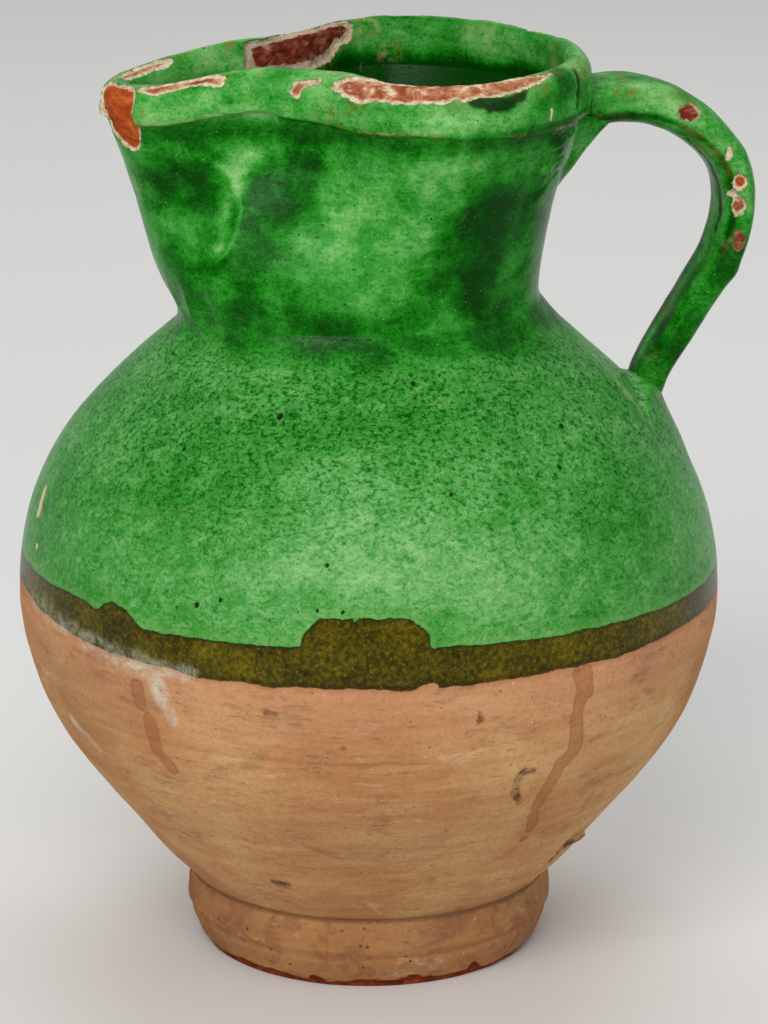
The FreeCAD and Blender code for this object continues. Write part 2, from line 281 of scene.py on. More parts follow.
# Breaks of the rim: depth, age from 0 fresh to 1 dark, width of the cream slip that shows round it, and
# its outline as turn and distance down from the crown, negative inside the mouth
rim_breaks = [
    (1.1, 0.0, 1.0, [(-3, 8), (-2, 2.5), (2, 0.6), (8, 0.4), (11.4, 1.0), (12.9, 4.4), (13.2, 8),
        (12.8, 10.9), (13.2, 13.7), (13.8, 16.9), (13.4, 19.4), (12.9, 21.3), (11.8, 24.5), (9.6, 25.6),
        (6.8, 25.0), (3, 23), (0, 20), (-2, 15)]),
    (0.5, 0.45, 0.9, [(12.9, 2.8), (15.2, 0.6), (18.8, -0.8), (22.4, -0.8), (26, 0), (28.8, 1.0),
        (29.6, 3.2), (28.8, 5.4), (27.2, 5.2), (26.8, 4.4), (25.2, 3.6), (22.8, 3.6), (19.2, 4.4),
        (17.2, 5.2), (15.6, 4.0)]),
    (0.8, 0.45, 0.6, [(49.6, 9.4), (48.2, 8.0), (49.0, 5.8), (52.4, 4.4), (56.8, 3.9), (61.2, 3.7),
        (60.8, 4.9), (56.4, 6.2), (54.4, 7.0), (52.8, 9.0), (51.2, 9.5)]),
    (0.9, 0.5, 0.9, [(66.0, 5.8), (68.4, 3.0), (77, -1.0), (84, -2.5), (100, -2.8), (120, -2.5),
        (130, -1.5), (139.5, 1.6), (132.8, 3.3), (129.2, 4.1), (126, 4.9), (123.2, 4.8), (118.8, 5.6),
        (115.2, 6.0), (109.6, 5.6), (105.6, 6.4), (103.6, 5.6), (101.6, 6.8), (98.8, 6.8), (95.2, 7.2),
        (91.6, 7.2), (88.8, 7.6), (86, 7.2), (82.8, 8.0), (79.2, 8.9), (76.8, 8.4), (73.2, 7.7),
        (70.8, 6.9), (68.4, 6.2)]),
    (1.3, 0.85, 2.3, [(-37.2, -2.6), (-47, -1.0), (-55.6, 0.5), (-64, 1.0), (-73, 1.0), (-82, 0.6),
        (-88, -0.6), (-90.5, -3.6), (-90, -5.6), (-89.2, -7.6), (-86.8, -8.8), (-82.8, -9.4), (-80, -11.4),
        (-77.2, -12.7), (-73.6, -13.1), (-66, -13.6), (-56, -13.4), (-46, -12.9), (-38, -12.4)]),
    (0.6, 0.6, 1.3, [(-2, -0.2), (-7.6, -0.4), (-13.6, -0.3), (-18, -0.4), (-21.5, -1.2), (-22.8, -2.8),
        (-22.4, -3.6), (-20.8, -4.6), (-15.6, -4.6), (-8, -4.4), (-3, -2.8)]),
    (0.3, 0.4, 0.5, [(-98, 0.6), (-104, 1.2), (-113, 0.9), (-114, -0.4), (-106, -0.8), (-99, -0.4)]),
    (0.4, 0.0, 3.0, [(132.7, 11.8), (133.6, 11.9), (133.4, 15.4), (132.5, 15.6)]),
    (0.3, 0.0, 3.0, [(146, -9.0), (148, -9.2), (147.6, -11.0), (146.2, -10.8)]),
    (0.5, 0.6, 0.6, [(-150, 0.8), (-156, 1.2), (-160, 0.2), (-157, -1.2), (-151, -1.0)])
]
# Where glaze has pooled dark
rim_pools = [
    (0.5, [(106, 6.2), (109.6, 5.4), (114, 5.6), (118.4, 6.6), (121.2, 5.6), (125.6, 5.2), (124.4, 8.4),
        (119.6, 9.8), (115.6, 10.6), (112.4, 10.2), (110.4, 8.6), (107.2, 8.0)]),
    (0.9, [(149.5, 2.5), (152.5, 3.5), (150.5, 10.5), (147.4, 15.5), (145.4, 14.5), (148.4, 8.0)])
]


# Edges of the two coats: turn and height
glaze_edge = [
    (-180, 113.5), (-120, 114.5), (-60, 115.5), (0, 116.2), (4.5, 116.2), (16, 114.6), (33, 112.4),
    (57, 111.0), (86, 110.7), (107, 111.5), (129, 111.9), (161, 112.6), (180, 113.5)
]
slip_edge = [
    (-180, 120.5), (-120, 121.5), (-96, 122.6), (-90, 120.0), (-84, 122.2), (-60, 123), (0, 124),
    (16, 123.9), (29.5, 124.3), (32.6, 122.6), (34.4, 125.2), (36.4, 126.7), (39.5, 125.2), (42.5, 121.6),
    (44, 121.1), (57, 122.0), (70, 122.3), (91, 122.4), (97, 122.1), (122, 121.5), (149, 120.2),
    (180, 120.5)
]
slip_lobes = [
    [(75.4, 122.6, 8.2), (86.0, 122.2, 8.4), (87.0, 120.4, 5.6)], [(-132, 120.5, 6.0), (-140, 120.8, 5.0)]
]
glaze_notches = [[(88.9, 110.0, 1.4), (90.8, 110.8, 1.7)], [(-70, 114.5, 2.0)]]

# Marks on the belly, as turn, height and half width
slip_flakes = [
    [(3.3, 144.6, 1.3), (5.0, 138.9, 2.0)], [(9.6, 130.6, 1.0)], [(65.7, 114.6, 0.8)], [(-40, 150, 1.6)],
    [(-118, 160, 1.2), (-119, 157, 1.8)]
]
# Lumps and pockets of the dome under the spout: height, then turn, height and half width
spout_lumps = [
    (1.3, [(13.2, 193.0, 1.6), (10.4, 190.4, 2.0), (10.3, 187.9, 2.0), (6.7, 185.2, 1.4)]),
    (-1.3, [(8.0, 188.8, 0.9), (6.6, 186.9, 1.0)]), (-1.6, [(18.0, 191.4, 1.3), (19.6, 189.0, 1.5)]),
    (-1.1, [(20.5, 187.2, 1.2), (18.2, 186.2, 0.9)]), (1.0, [(14.4, 187.4, 2.0), (12.0, 184.8, 1.6)]),
    (0.9, [(23.9, 186.8, 1.8), (20.0, 184.2, 1.4)]), (0.7, [(29.0, 188.4, 1.8)]),
    (-0.7, [(31, 190.0, 0.7), (38, 190.4, 0.8)]), (0.6, [(38, 187.2, 1.5), (50, 187.8, 1.2)]),
    (-0.5, [(44, 189.6, 0.7), (60, 190.2, 0.6)])
]
pinholes = [
    (49.4, 129.2, 0.55), (53.0, 130.9, 0.75), (57.1, 133.2, 0.6), (74.2, 144.5, 0.6), (73.0, 132.6, 0.45),
    (77.0, 132.4, 0.45), (126.8, 172.5, 0.6), (120.5, 163.6, 0.6), (96.4, 161.0, 0.5), (60.2, 178.5, 0.7),
    (41.0, 168.0, 0.5), (93.0, 186.5, 0.5), (-50, 140, 0.6), (-77, 155, 0.6), (-120, 145, 0.7),
    (-150, 165, 0.5), (160, 150, 0.6)
]
drips = [
    [(42.2, 104.5, 2.2), (42.2, 98.5, 2.0)],
    [(43.4, 95.6, 1.0), (43.8, 93.4, 2.2), (43.8, 89, 2.4), (43.8, 85.5, 2.2), (44.6, 82.5, 1.7),
        (46.2, 79.8, 2.1)],
    [(116.2, 109.0, 3.3), (116.8, 104, 3.0)], [(116.4, 104, 2.3), (115.8, 96.8, 2.1), (116.8, 86, 2.5)],
    [(116.4, 84, 2.4), (114.8, 81.5, 2.4)], [(114.4, 78.6, 1.9), (113.6, 74, 2.2)],
    [(113.4, 71.4, 2.1), (113.0, 66.9, 1.8)], [(113.4, 63.4, 1.4), (114.8, 57.2, 1.7)],
    [(115.0, 52.6, 1.3)], [(-66, 110, 2.4), (-66.5, 96, 2.0), (-66, 84, 2.4)],
    [(-128, 110, 2.0), (-127.5, 98, 2.2)]
]
limes = [
    [(2, 117.2, 1.2), (12, 116.2, 2.4), (22.9, 114.6, 2.4), (34.2, 112.2, 2.9), (43.1, 111.5, 3.6),
        (53, 111.6, 2.0)],
    [(46.8, 110.6, 3.2), (46.3, 104.6, 2.9), (47.2, 99, 2.3), (48.6, 95.4, 1.8)],
    [(20, 83, 1.2), (26.5, 76.5, 1.6)],
    [(168, 183, 1.4), (164.6, 178.3, 2.0), (162.8, 174.7, 2.2), (159.2, 170.7, 2.0), (157.3, 165.7, 1.0)],
    [(-20, 114.8, 1.6), (-34, 114.6, 1.2)]
]
clay_marks = [
    [(57.4, 38.0, 0.9), (60.6, 37.2, 1.2)], [(65.0, 102.9, 0.6), (66.6, 102.5, 0.7)],
    [(98.4, 102.4, 0.5), (98.6, 99.6, 0.7)],
    [(109.6, 80.7, 0.5), (107.6, 81.2, 0.8), (106.7, 78.5, 1.0), (106.9, 74, 1.2), (108.6, 69.9, 0.7)],
    [(95.6, 62, 0.5)], [(77, 92.5, 0.8)], [(-80, 70, 0.8)], [(-140, 88, 1.0)]
]
kiln_scar = [(134.6, 33.5, 0.7), (135.8, 38.5, 1.0), (137.2, 43.6, 1.7), (138.2, 45.4, 1.5)]
scar_radius = belly_radius * 0.66
# Millimetres to a degree at the lumps
lump_degree = 0.98

# Lighter and darker clouds of the green, and dark ones of the bare clay, as turn, height, width, tallness
# and amount. A few on the neck are painted shade and painted highlights, noted below.
clouds = [
    # Painted: shade under the ledge at the pinch (48, 246), highlight on the fold by the dent (32, 243), (30,
    # 234), glint in the dent (29, 222)
    (48, 246, 9, 7, -0.7), (46, 232, 8, 13, -0.8), (42, 213, 9, 8, -0.5), (20, 237, 8, 8, -0.5),
    (32, 243, 7, 5, 0.7), (30, 234, 4, 6, 0.2), (20, 222, 6, 6, 0.25), (82, 228, 17, 13, 0.5),
    (29, 222, 2.4, 3.4, 0.6), (31, 229, 5, 9, 0.2), (84, 208, 18, 9, 0.25), (116, 217, 12, 17, -0.75),
    (126, 205, 10, 10, -0.5), (126, 234, 9, 10, -0.6), (18, 212, 9, 10, -0.35), (12, 238, 7, 8, -0.25),
    (143, 264, 8, 5, -0.9), (158, 262, 8, 8, -0.6), (124, 261, 9, 3, 0.2), (144, 247, 7, 8, -0.7),
    (110, 244, 16, 6, 0.25), (60, 201, 30, 6, -0.35), (100, 242, 26, 6, 0.1), (4, 226, 4, 14, 0.15),
    (150, 222, 10, 24, -0.2), (92, 196, 40, 4, -0.25), (60, 170, 18, 14, -0.12), (92, 150, 22, 14, 0.42),
    (74, 138, 20, 10, 0.26), (50, 148, 16, 16, -0.2), (125, 150, 14, 18, -0.24), (108, 134, 16, 8, 0.16),
    (88, 178, 30, 8, -0.2), (15, 150, 12, 20, -0.1), (-60, 235, 20, 14, -0.4), (-110, 225, 20, 16, 0.35),
    (-90, 160, 30, 16, 0.3), (-150, 150, 20, 16, -0.3), (24, 94, 30, 20, -0.65), (150, 92, 24, 16, -0.4),
    (100, 60, 34, 12, -0.3), (-60, 80, 30, 16, -0.3)
]


def throwing_rings(points, depth, pitch, seed):
    """Uneven level ridges left by the fingers, with a slight climb round the pot."""
    climb = np.arctan2(points[..., 1], points[..., 0]) * pitch / 6.2832
    level = np.zeros_like(points)
    level[..., 2] = points[..., 2] + climb
    level[..., 0] = noise(points, 60.0, seed + 5) * 3
    return depth * noise(level, pitch, seed, 2)


def body_relief(turn, points):
    """Hand-made unevenness of the bowl and dome, in millimetres out from the turned curve."""
    height = points[..., 2]
    free = smooth_step((height - foot_height) / 4) * smooth_step((neck_base_height - height) / 4)
    bowl = 1 - smooth_step((height - 104) / 18)
    relief = 0.55 * noise(points, 85.0, 3) + 0.16 * noise(points, 22.0, 4)
    relief += throwing_rings(points, 0.24, 9.0, 8) * bowl
    relief += throwing_rings(points, 0.16, 15.0, 9) * (1 - bowl)
    # A fine groove round the bowl, and the lump of kiln scar low on its right
    relief -= 0.45 * hump(height, 86.8, 0.5) * patches(points, 24, 12, -0.5, 0.5, 1)
    degree = scar_radius * math.pi / 180
    scar = stroke(turn * degree, height, laid_out(kiln_scar, degree))
    relief += (0.9 + 1.5 * smooth_step((height - 40) / 5)) * smooth_step(scar / 1.4)
    relief *= free
    if height.max() > 185:
        for lift, route in spout_lumps:
            here = stroke(turn * lump_degree, height, laid_out(route, lump_degree))
            relief += lift * smooth_step(here / 2.2 + 0.45)
    return relief


# The ridge that a finger pushed up round its dent beside the spout, as turn, height and half width
dent_line = [
    (27.0, 243.7, 0.1), (29.9, 241.2, 0.3), (33.3, 236.3, 0.5), (35.8, 230.5, 0.5), (36.9, 224.4, 0.4),
    (35.7, 219.5, 0.3), (33.4, 216.8, 0.0)
]


# The dent itself: the turn and rise of its middle, its half sizes and its lean
dent_turn, dent_rise, dent_half_turn, dent_half_rise, dent_lean = 22.5, 33.5, 14.5, 19, 0.15
# The fold where the spout's belly meets the dome
fold_turn, fold_rise, fold_lean = 20.5, 8, 0.15


def dent_edge(turn, height):
    """1 on the ridge round the dent and 0 away from it."""
    degree = neck_waist_radius * math.pi / 180
    inside = stroke(turn * degree, height, laid_out(dent_line, degree))
    return smooth_step((inside + 0.75) / 0.9)


def neck_relief(turn, rise, points):
    """Finger dent, folds and level ridges of the neck, in millimetres out from its outline."""
    free = smooth_step(rise / 3)
    relief = 0.3 * noise(points, 30.0, 21) + 0.12 * noise(points, 9.0, 22)
    relief += throwing_rings(points, 0.2, 11.0, 23)
    # The dent beside the spout: a crease on its right, fading away towards the spout
    middle = dent_turn - (rise - 31) * dent_lean
    away = np.hypot((turn - middle) / dent_half_turn, (rise - dent_rise) / dent_half_rise)
    right = smooth_step((turn - middle + 8) / 14)
    relief -= 1.5 * smooth_step((1 - away) / 0.6) * (0.3 + 0.7 * right)
    relief -= 0.45 * smooth_step((1 - away) / 0.12) * right
    relief += 0.4 * dent_edge(turn, points[..., 2])
    relief -= 0.9 * np.exp(-((turn - 14) / 7) ** 2 - ((rise - 36) / 12) ** 2)
    # The squeezed fold, the hollow on its right and the smaller fold on its left
    fold = turn - fold_turn - (rise - fold_rise) * fold_lean
    relief += 1.5 * hump(fold, 0, 2.4) * hump(rise, fold_rise, 7.0)
    relief -= 1.3 * hump(fold, 6.5, 3.0) * hump(rise, 7, 6.5)
    relief += 0.7 * hump(turn, 10, 2.0) * hump(rise, 7, 6.0)
    return relief * free


def damage(arc, section, points, breaks, seed):
    """Depth of the breaks, how far inside one each place lies, its age, and the width of its cream edge."""
    depth = np.zeros(points.shape[:-1])
    inside, age, cream = np.full(depth.shape, nowhere), np.zeros(depth.shape), np.zeros(depth.shape)
    ragged = 0.35 * noise(points, 2.6, seed, 2)
    rough = 1 + 0.3 * noise(points, 2.4, seed + 3, 2)
    for cut, break_age, edge, corners in breaks:
        here = outline_inside(arc, section, on_rim(corners)) + ragged
        depth = np.maximum(depth, cut * smooth_step(here / 1.2 + 0.3) * rough)
        age = np.where(here > inside, break_age, age)
        cream = np.where(here > inside, edge, cream)
        inside = np.maximum(inside, here)
    return depth, np.clip(inside, nowhere, -nowhere), age, cream


# Meshes

# Edges that bend by more degrees than this stay sharp
sharp_angle = 38


def closed_mesh(name, grid):
    """A closed mesh over a grid of places: columns run round the jug and rows round the wall's section. A
    row whose places are all together becomes one point."""
    rows, columns = grid.shape[:2]
    pole = [float(np.ptp(row, axis=0).max()) < 1e-6 for row in grid]
    ids, keep, count = np.zeros((rows, columns), int), [], 0
    for row in range(rows):
        size = 1 if pole[row] else columns
        ids[row] = count + (np.arange(columns) % size)
        keep += [(row, column) for column in range(size)]
        count += size
    faces = []
    for row in range(rows - 1 if any(pole) else rows):
        low, high = ids[row], ids[(row + 1) % rows]
        if pole[row]:
            faces += np.stack([low, np.roll(high, -1), high], axis=1).tolist()
        elif pole[(row + 1) % rows]:
            faces += np.stack([low, np.roll(low, -1), high], axis=1).tolist()
        else:
            faces += np.stack([low, np.roll(low, -1), np.roll(high, -1), high], axis=1).tolist()
    keep = np.array(keep)
    mesh = bpy.data.meshes.new(name)
    mesh.from_pydata((grid[keep[:, 0], keep[:, 1]] * MM).tolist(), [], faces)
    return mesh, lambda values: np.broadcast_to(values, (rows, columns))[keep[:, 0], keep[:, 1]]


def sheet_mesh(name, front, back):
    """A closed mesh with a shaped front and a back that lies inside the wall behind it."""
    rows, columns = front.shape[:2]
    ids = np.arange(rows * columns).reshape(rows, columns)
    face = np.stack([ids[:-1, :-1], ids[:-1, 1:], ids[1:, 1:], ids[1:, :-1]], axis=-1).reshape(-1, 4)
    rear = face[:, ::-1] + rows * columns
    edge = np.concatenate([ids[0, :-1], ids[:-1, -1], ids[-1, :0:-1], ids[:0:-1, 0]])
    ahead = np.roll(edge, -1)
    side = np.stack([ahead, edge, edge + rows * columns, ahead + rows * columns], axis=-1)
    mesh = bpy.data.meshes.new(name)
    places = np.concatenate([front.reshape(-1, 3), back.reshape(-1, 3)]) * MM
    mesh.from_pydata(places.tolist(), [], np.concatenate([face, rear, side]).tolist())
    return mesh, lambda values: np.tile(np.broadcast_to(values, (rows, columns)).reshape(-1), 2)


def finish_piece(mesh, node, material, values, take=np.array):
    """Makes a piece of a mesh, in place of the solid of one node. The values are for its material, and take
    picks those of the mesh's points."""
    for name, value in values.items():
        held = mesh.attributes.new(name, "FLOAT", "POINT")
        held.data.foreach_set("value", np.array(take(value), np.float32).ravel())
    mesh.polygons.foreach_set("use_smooth", [True] * len(mesh.polygons))
    mesh.set_sharp_from_angle(angle=math.radians(sharp_angle))
    mesh.materials.clear()
    mesh.materials.append(material)
    mesh.update()
    piece = bpy.data.objects.new(node + "_fired", mesh)
    bpy.context.scene.collection.objects.link(piece)
    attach(piece, "root")
    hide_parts(node)
    return piece


def column_turns(columns):
    return np.linspace(-180, 180, columns, endpoint=False) + 180.0 / columns


def revolved(section, columns):
    """Places of a section of radius and height, turned round the jug, and the turn of each column."""
    turn = column_turns(columns)
    grid = round_jug(section[:, :1], turn, section[:, 1:])
    return grid, np.broadcast_to(turn, grid.shape[:2])


def outward_of(section, turn):
    """Directions square to a section, pointing away from the clay."""
    along = unit(np.gradient(section, axis=0))
    return round_jug(along[:, 1:], turn, -along[:, :1])


def coat_values(turn, points, outside):
    """Where the coats and marks of the belly lie, as values for the material."""
    height = points[..., 2]

    def marks(routes, rough=0.0):
        """How far inside any of the marks each place lies. One degree is as long as at the mark's height."""
        inside = np.full(height.shape, nowhere)
        for route in routes:
            degree = body_at(np.array([route[0][1]]))[0][0] * math.pi / 180
            inside = np.maximum(inside, stroke(turn * degree, height, laid_out(route, degree)) + rough)
        return inside

    torn = 0.35 + 1.0 * hump(turn, 76, 4)
    glaze = height - read_off(glaze_edge, turn) - 0.5 * noise(points, 9.0, 31, 2)
    glaze = np.minimum(glaze, -marks(glaze_notches))
    slip = height - read_off(slip_edge, turn) - 0.3 * noise(points, 6.0, 32, 2)
    slip = np.minimum(slip, -marks(slip_lobes, torn * noise(points, 3.0, 33, 3)))
    dark = np.maximum(marks(clay_marks, 0.4 * noise(points, 2.0, 37, 2)),
                      marks([kiln_scar], 0.8 * noise(points, 3.0, 38, 2)))
    tone = cloud_tone(turn, height, np.maximum(body_at(height)[0], 30))
    values = {"break_inside": marks(slip_flakes, 0.3 * noise(points, 1.8, 34)),
              "pinhole": marks([[hole] for hole in pinholes]),
              "drip": marks(drips, 0.5 * noise(points, 4.0, 35, 2)),
              "lime": marks(limes, 1.2 * noise(points, 3.4, 36, 3)), "dark_mark": dark}
    values = {name: np.where(outside, value, nowhere) for name, value in values.items()}
    values["glaze_above"] = np.where(outside, glaze, -nowhere)
    values["slip_above"] = np.where(outside, slip, -nowhere)
    # The walls inside the jug are darkened by 0.8: painted shade in the hollow
    values["tone"] = tone - np.where(outside, 0.0, 0.8)
    values["peel"] = np.where(outside, 1.0, 0.3)
    return values


def cloud_tone(turn, height, radius):
    """Soft lighter and darker areas of the glaze, with ragged edges."""
    turn, height, radius = np.broadcast_arrays(turn, height, radius)
    places = round_jug(radius, turn, height)
    sway, lift = 6.0 * noise(places, 13.0, 97, 3), 5.0 * noise(places, 11.0, 98, 3)
    tone = np.zeros(turn.shape)
    for a, z, wide, tall, amount in clouds:
        across = (turn - a) * math.pi / 180 * radius + sway
        tone = tone + amount * np.exp(-(across / wide) ** 2 - ((height + lift - z) / tall) ** 2)
    return tone


# Finishes. One Field is one value in a material's nodes, so a finish reads as sums of what covers the clay.

def add_node(tree, kind, settings, inputs, output=0):
    """Adds a node with its settings and with the values or links of its sockets, and gives an output."""
    made = tree.nodes.new(kind)
    for name, value in settings.items():
        setattr(made, name, value)
    for name, value in inputs.items():
        if isinstance(value, bpy.types.NodeSocket):
            tree.links.new(value, made.inputs[name])
        else:
            made.inputs[name].default_value = value
    return made.outputs[output] if len(made.outputs) else None


class Field:
    def __init__(self, finish, socket):
        self.finish, self.socket = finish, socket

    def maths(self, operation, *values):
        return self.finish.node("ShaderNodeMath", {"operation": operation}, dict(enumerate(values)))

    def __add__(self, other): return self.maths("ADD", self, other)
    def __radd__(self, other): return self.maths("ADD", other, self)
    def __sub__(self, other): return self.maths("SUBTRACT", self, other)
    def __rsub__(self, other): return self.maths("SUBTRACT", other, self)
    def __mul__(self, other): return self.maths("MULTIPLY", self, other)
    def __rmul__(self, other): return self.maths("MULTIPLY", other, self)

    def most(self, other): return self.maths("MAXIMUM", self, other)
    def size(self): return self.maths("ABSOLUTE", self)

    def between(self, low, high):
        """0 below low and 1 above high, with a soft change between them."""
        return self.finish.node("ShaderNodeMapRange", {"interpolation_type": "SMOOTHSTEP"},
                                {"Value": self, "From Min": low, "From Max": high})


class Finish:
    def __init__(self, name):
        self.material = bpy.data.materials.new(name)
        self.material.use_nodes = True
        self.tree = self.material.node_tree
        self.tree.nodes.clear()
        self.place = self.node("ShaderNodeTexCoord", {}, {}, "Object")

    def node(self, kind, settings, inputs, output=0):
        inputs = {name: value.socket if isinstance(value, Field) else value for name, value in inputs.items()}
        return Field(self, add_node(self.tree, kind, settings, inputs, output))

    def value(self, name):
        return self.node("ShaderNodeAttribute", {"attribute_name": name}, {}, "Fac")

    def colour(self, code):
        """A screen colour such as #c48a63 as the linear colour that a node holds."""
        parts = [int(code[place:place + 2], 16) / 255 for place in (1, 3, 5)]
        linear = [part / 12.92 if part < 0.04045 else ((part + 0.055) / 1.055) ** 2.4 for part in parts]
        return (*linear, 1.0)

    def mix(self, share, low, high):
        """A colour part of the way from one colour to another."""
        low, high = [self.colour(end) if isinstance(end, str) else end for end in (low, high)]
        return self.node("ShaderNodeMix", {"data_type": "RGBA"}, {0: share, 6: low, 7: high}, 2)

    def tall(self):
        """Height above the table, in millimetres."""
        return self.node("ShaderNodeSeparateXYZ", {}, {0: self.place}, "Z") * 1000

    def stretched(self, along, around):
        """Places drawn out round the pot, so that noise makes level streaks."""
        return self.node("ShaderNodeVectorMath", {"operation": "MULTIPLY"},
                         {0: self.place, 1: (1 / around, 1 / around, 1 / along)})

    def cloud(self, size, detail=2.0, rough=0.5, twist=0.0, place=None):
        """Noise from about 0 to 1 with lumps of one size in millimetres."""
        return self.node("ShaderNodeTexNoise", {},
                         {"Vector": place or self.place, "Scale": 500 / size, "Detail": detail,
                          "Roughness": rough, "Distortion": twist})

    def cells(self, size, spread=1.0):
        """Distance from scattered points, 0 at each of them."""
        return self.node("ShaderNodeTexVoronoi", {}, {"Vector": self.place, "Scale": 1000 / size,
                                                      "Randomness": spread})

    def ramp(self, share, stops):
        """A colour read off a list of (place, colour) stops."""
        made = self.tree.nodes.new("ShaderNodeValToRGB")
        ends = made.color_ramp.elements
        while len(ends) < len(stops):
            ends.new(0.5)
        for end, (where, code) in zip(ends, stops):
            end.position, end.color = where, self.colour(code)
        self.tree.links.new(share.socket, made.inputs[0])
        return Field(self, made.outputs[0])

    def fired(self, colour, roughness, relief, gloss=0.12):
        """Ends the finish: colour, roughness, relief in millimetres, and how much it mirrors."""
        raised = self.node("ShaderNodeBump", {}, {"Height": relief, "Distance": MM, "Strength": 1.0})
        shader = self.node("ShaderNodeBsdfPrincipled", {},
                           {"Base Color": colour, "Roughness": roughness, "Normal": raised,
                            "Specular IOR Level": gloss})
        self.node("ShaderNodeOutputMaterial", {}, {"Surface": shader})
        return self.material


def clay_finish(finish):
    """Bare red earthenware fired pale: colour, roughness and relief."""
    tall = finish.tall()
    patch = finish.cloud(20, 3.0, 0.6, 0.6)
    streak = finish.cloud(12, 3.0, 0.55, 0.3, finish.stretched(0.14, 1.0))
    grain = finish.cloud(0.7, 2.0, 0.7)
    colour = finish.ramp(patch * 0.8 + streak * 0.5 - 0.15,
                         [(0.2, "#a87249"), (0.42, "#ba8658"), (0.58, "#c69967"), (0.8, "#d2ab79")])
    colour = finish.mix((1 - tall.between(18, 27)) * 0.75, colour, "#99693f")
    colour = finish.mix(tall.between(84, 112) * 0.5, colour, "#c48a68")
    smoke = finish.cloud(14, 5.0, 0.66, 1.0, finish.stretched(0.5, 1.0))
    colour = finish.mix(smoke.between(0.52, 0.72) * 0.4, colour, "#92705a")
    drag = finish.cloud(3.0, 3.0, 0.6, 0.3, finish.stretched(0.3, 1.0)) * (0.4 + smoke * 1.2)
    colour = finish.mix(drag.between(0.56, 0.76) * 0.26, colour, "#74492f")
    dust = finish.cloud(7, 4.0, 0.7, 0.8, finish.stretched(0.6, 1.0))
    colour = finish.mix(dust.between(0.58, 0.74) * 0.4, colour, "#dcc09c")
    colour = finish.mix(grain.between(0.4, 0.75) * 0.3, colour, "#8a5a3a")
    grit = (1 - finish.cells(2.6).between(0.06, 0.13)) * finish.cloud(6, 2.0).between(0.48, 0.56)
    colour = finish.mix(grit * 0.75, colour, "#55341f")
    colour = finish.mix((1 - finish.cells(6.3).between(0.03, 0.06)) * 0.4, colour, "#ead9c0")
    # Painted shade: a dark line in the crease where the bowl meets the foot
    crease_shade = 1 - (tall - 22.4 + (streak - 0.5) * 1.5).size().between(0.2, 1.5)
    colour = finish.mix(crease_shade * 0.6, colour, "#553219")
    relief = grain * 0.16 + streak * 0.4 + patch * 0.2 - grit * 0.15 - drag.between(0.56, 0.74) * 0.12
    return colour, 0.86 + grain * 0.08, relief


def glaze_finish(finish, tone, peel):
    """Copper-green lead glaze over pale slip: colour and relief. Peel is 1 where it is pitted like the peel
    of an orange."""
    plain = 1 - peel
    tall = finish.tall()
    broad = finish.cloud(13, 3.0, 0.6, 0.7)
    middle = finish.cloud(3.4, 3.0, 0.65, 0.5)
    streak = finish.cloud(7, 4.0, 0.62, 0.6, finish.stretched(0.3, 1.0))
    dashes = finish.cloud(0.72, 2.0, 0.6, 0.6, finish.stretched(0.75, 1.0))
    wrinkles = finish.cloud(1.8, 3.0, 0.62, 1.2, finish.stretched(0.68, 1.0))
    fine = finish.cloud(0.34, 1.0, 0.6)
    pits = (1 - dashes.between(0.3, 0.54)) * (0.4 + 0.6 * tall.between(135, 172))
    depth = (0.4 + peel * 0.07 + tone * (0.4 + plain * 0.14) + (broad - 0.5) * (0.45 + plain * 0.45)
             + (middle - 0.5) * (0.3 + plain * 0.35) + (streak - 0.5) * plain * 0.55
             - (pits - 0.25) * (0.1 + peel * 0.27) + (wrinkles - 0.5) * peel * 0.62 + (fine - 0.5) * 0.3)
    pitted = finish.ramp(depth, [(0.0, "#064204"), (0.2, "#0c5c08"), (0.38, "#227c19"), (0.55, "#45933e"),
                                 (0.75, "#72ad64"), (1.0, "#9cc98a")])
    pooled = finish.ramp(depth, [(0.0, "#033a02"), (0.2, "#085806"), (0.38, "#1a7a13"), (0.55, "#389134"),
                                 (0.75, "#69ac59"), (1.0, "#9cc986")])
    colour = finish.mix(peel, pooled, pitted)
    speck = (1 - finish.cells(3.9).between(0.05, 0.13)) * finish.cloud(5, 1.0).between(0.47, 0.55)
    colour = finish.mix(speck * 0.8, colour, "#1c3208")
    # Painted glints: tiny pale spots scattered over the glaze
    painted_glint = 1 - finish.cells(3.1).between(0.03, 0.07)
    colour = finish.mix(painted_glint * 0.5, colour, "#b9d6a8")
    rust = finish.cloud(6, 4.0, 0.7, 1.0).between(0.66, 0.76)
    colour = finish.mix(rust * 0.45, colour, "#7b7a3a")
    relief = (dashes * (0.04 + peel * 0.36) + wrinkles * peel * 0.6 + middle * 0.12 + streak * plain * 0.1
              - speck * 0.15)
    return colour, relief


def broken_finish(finish, age):
    """Clay where the glaze has come off, from fresh orange-red to old dark red-brown."""
    grain = finish.cloud(0.8, 3.0, 0.7)
    patch = finish.cloud(2.4, 3.0, 0.65, 0.6, finish.stretched(0.5, 1.0))
    fresh = finish.ramp(patch, [(0.32, "#8e3a14"), (0.5, "#a8481c"), (0.68, "#bd6433")])
    worn = finish.ramp(patch, [(0.3, "#7e3f28"), (0.44, "#9a5638"), (0.56, "#b88060"), (0.68, "#dcc2a6")])
    old = finish.ramp(patch, [(0.3, "#4a170e"), (0.48, "#6b2717"), (0.62, "#8a4632"), (0.76, "#a98471")])
    colour = finish.mix(age.between(0.0, 0.5), fresh, worn)
    colour = finish.mix(age.between(0.5, 0.9), colour, old)
    colour = finish.mix(grain.between(0.55, 0.75) * 0.4, colour, "#4c2013")
    return colour, grain * 0.35


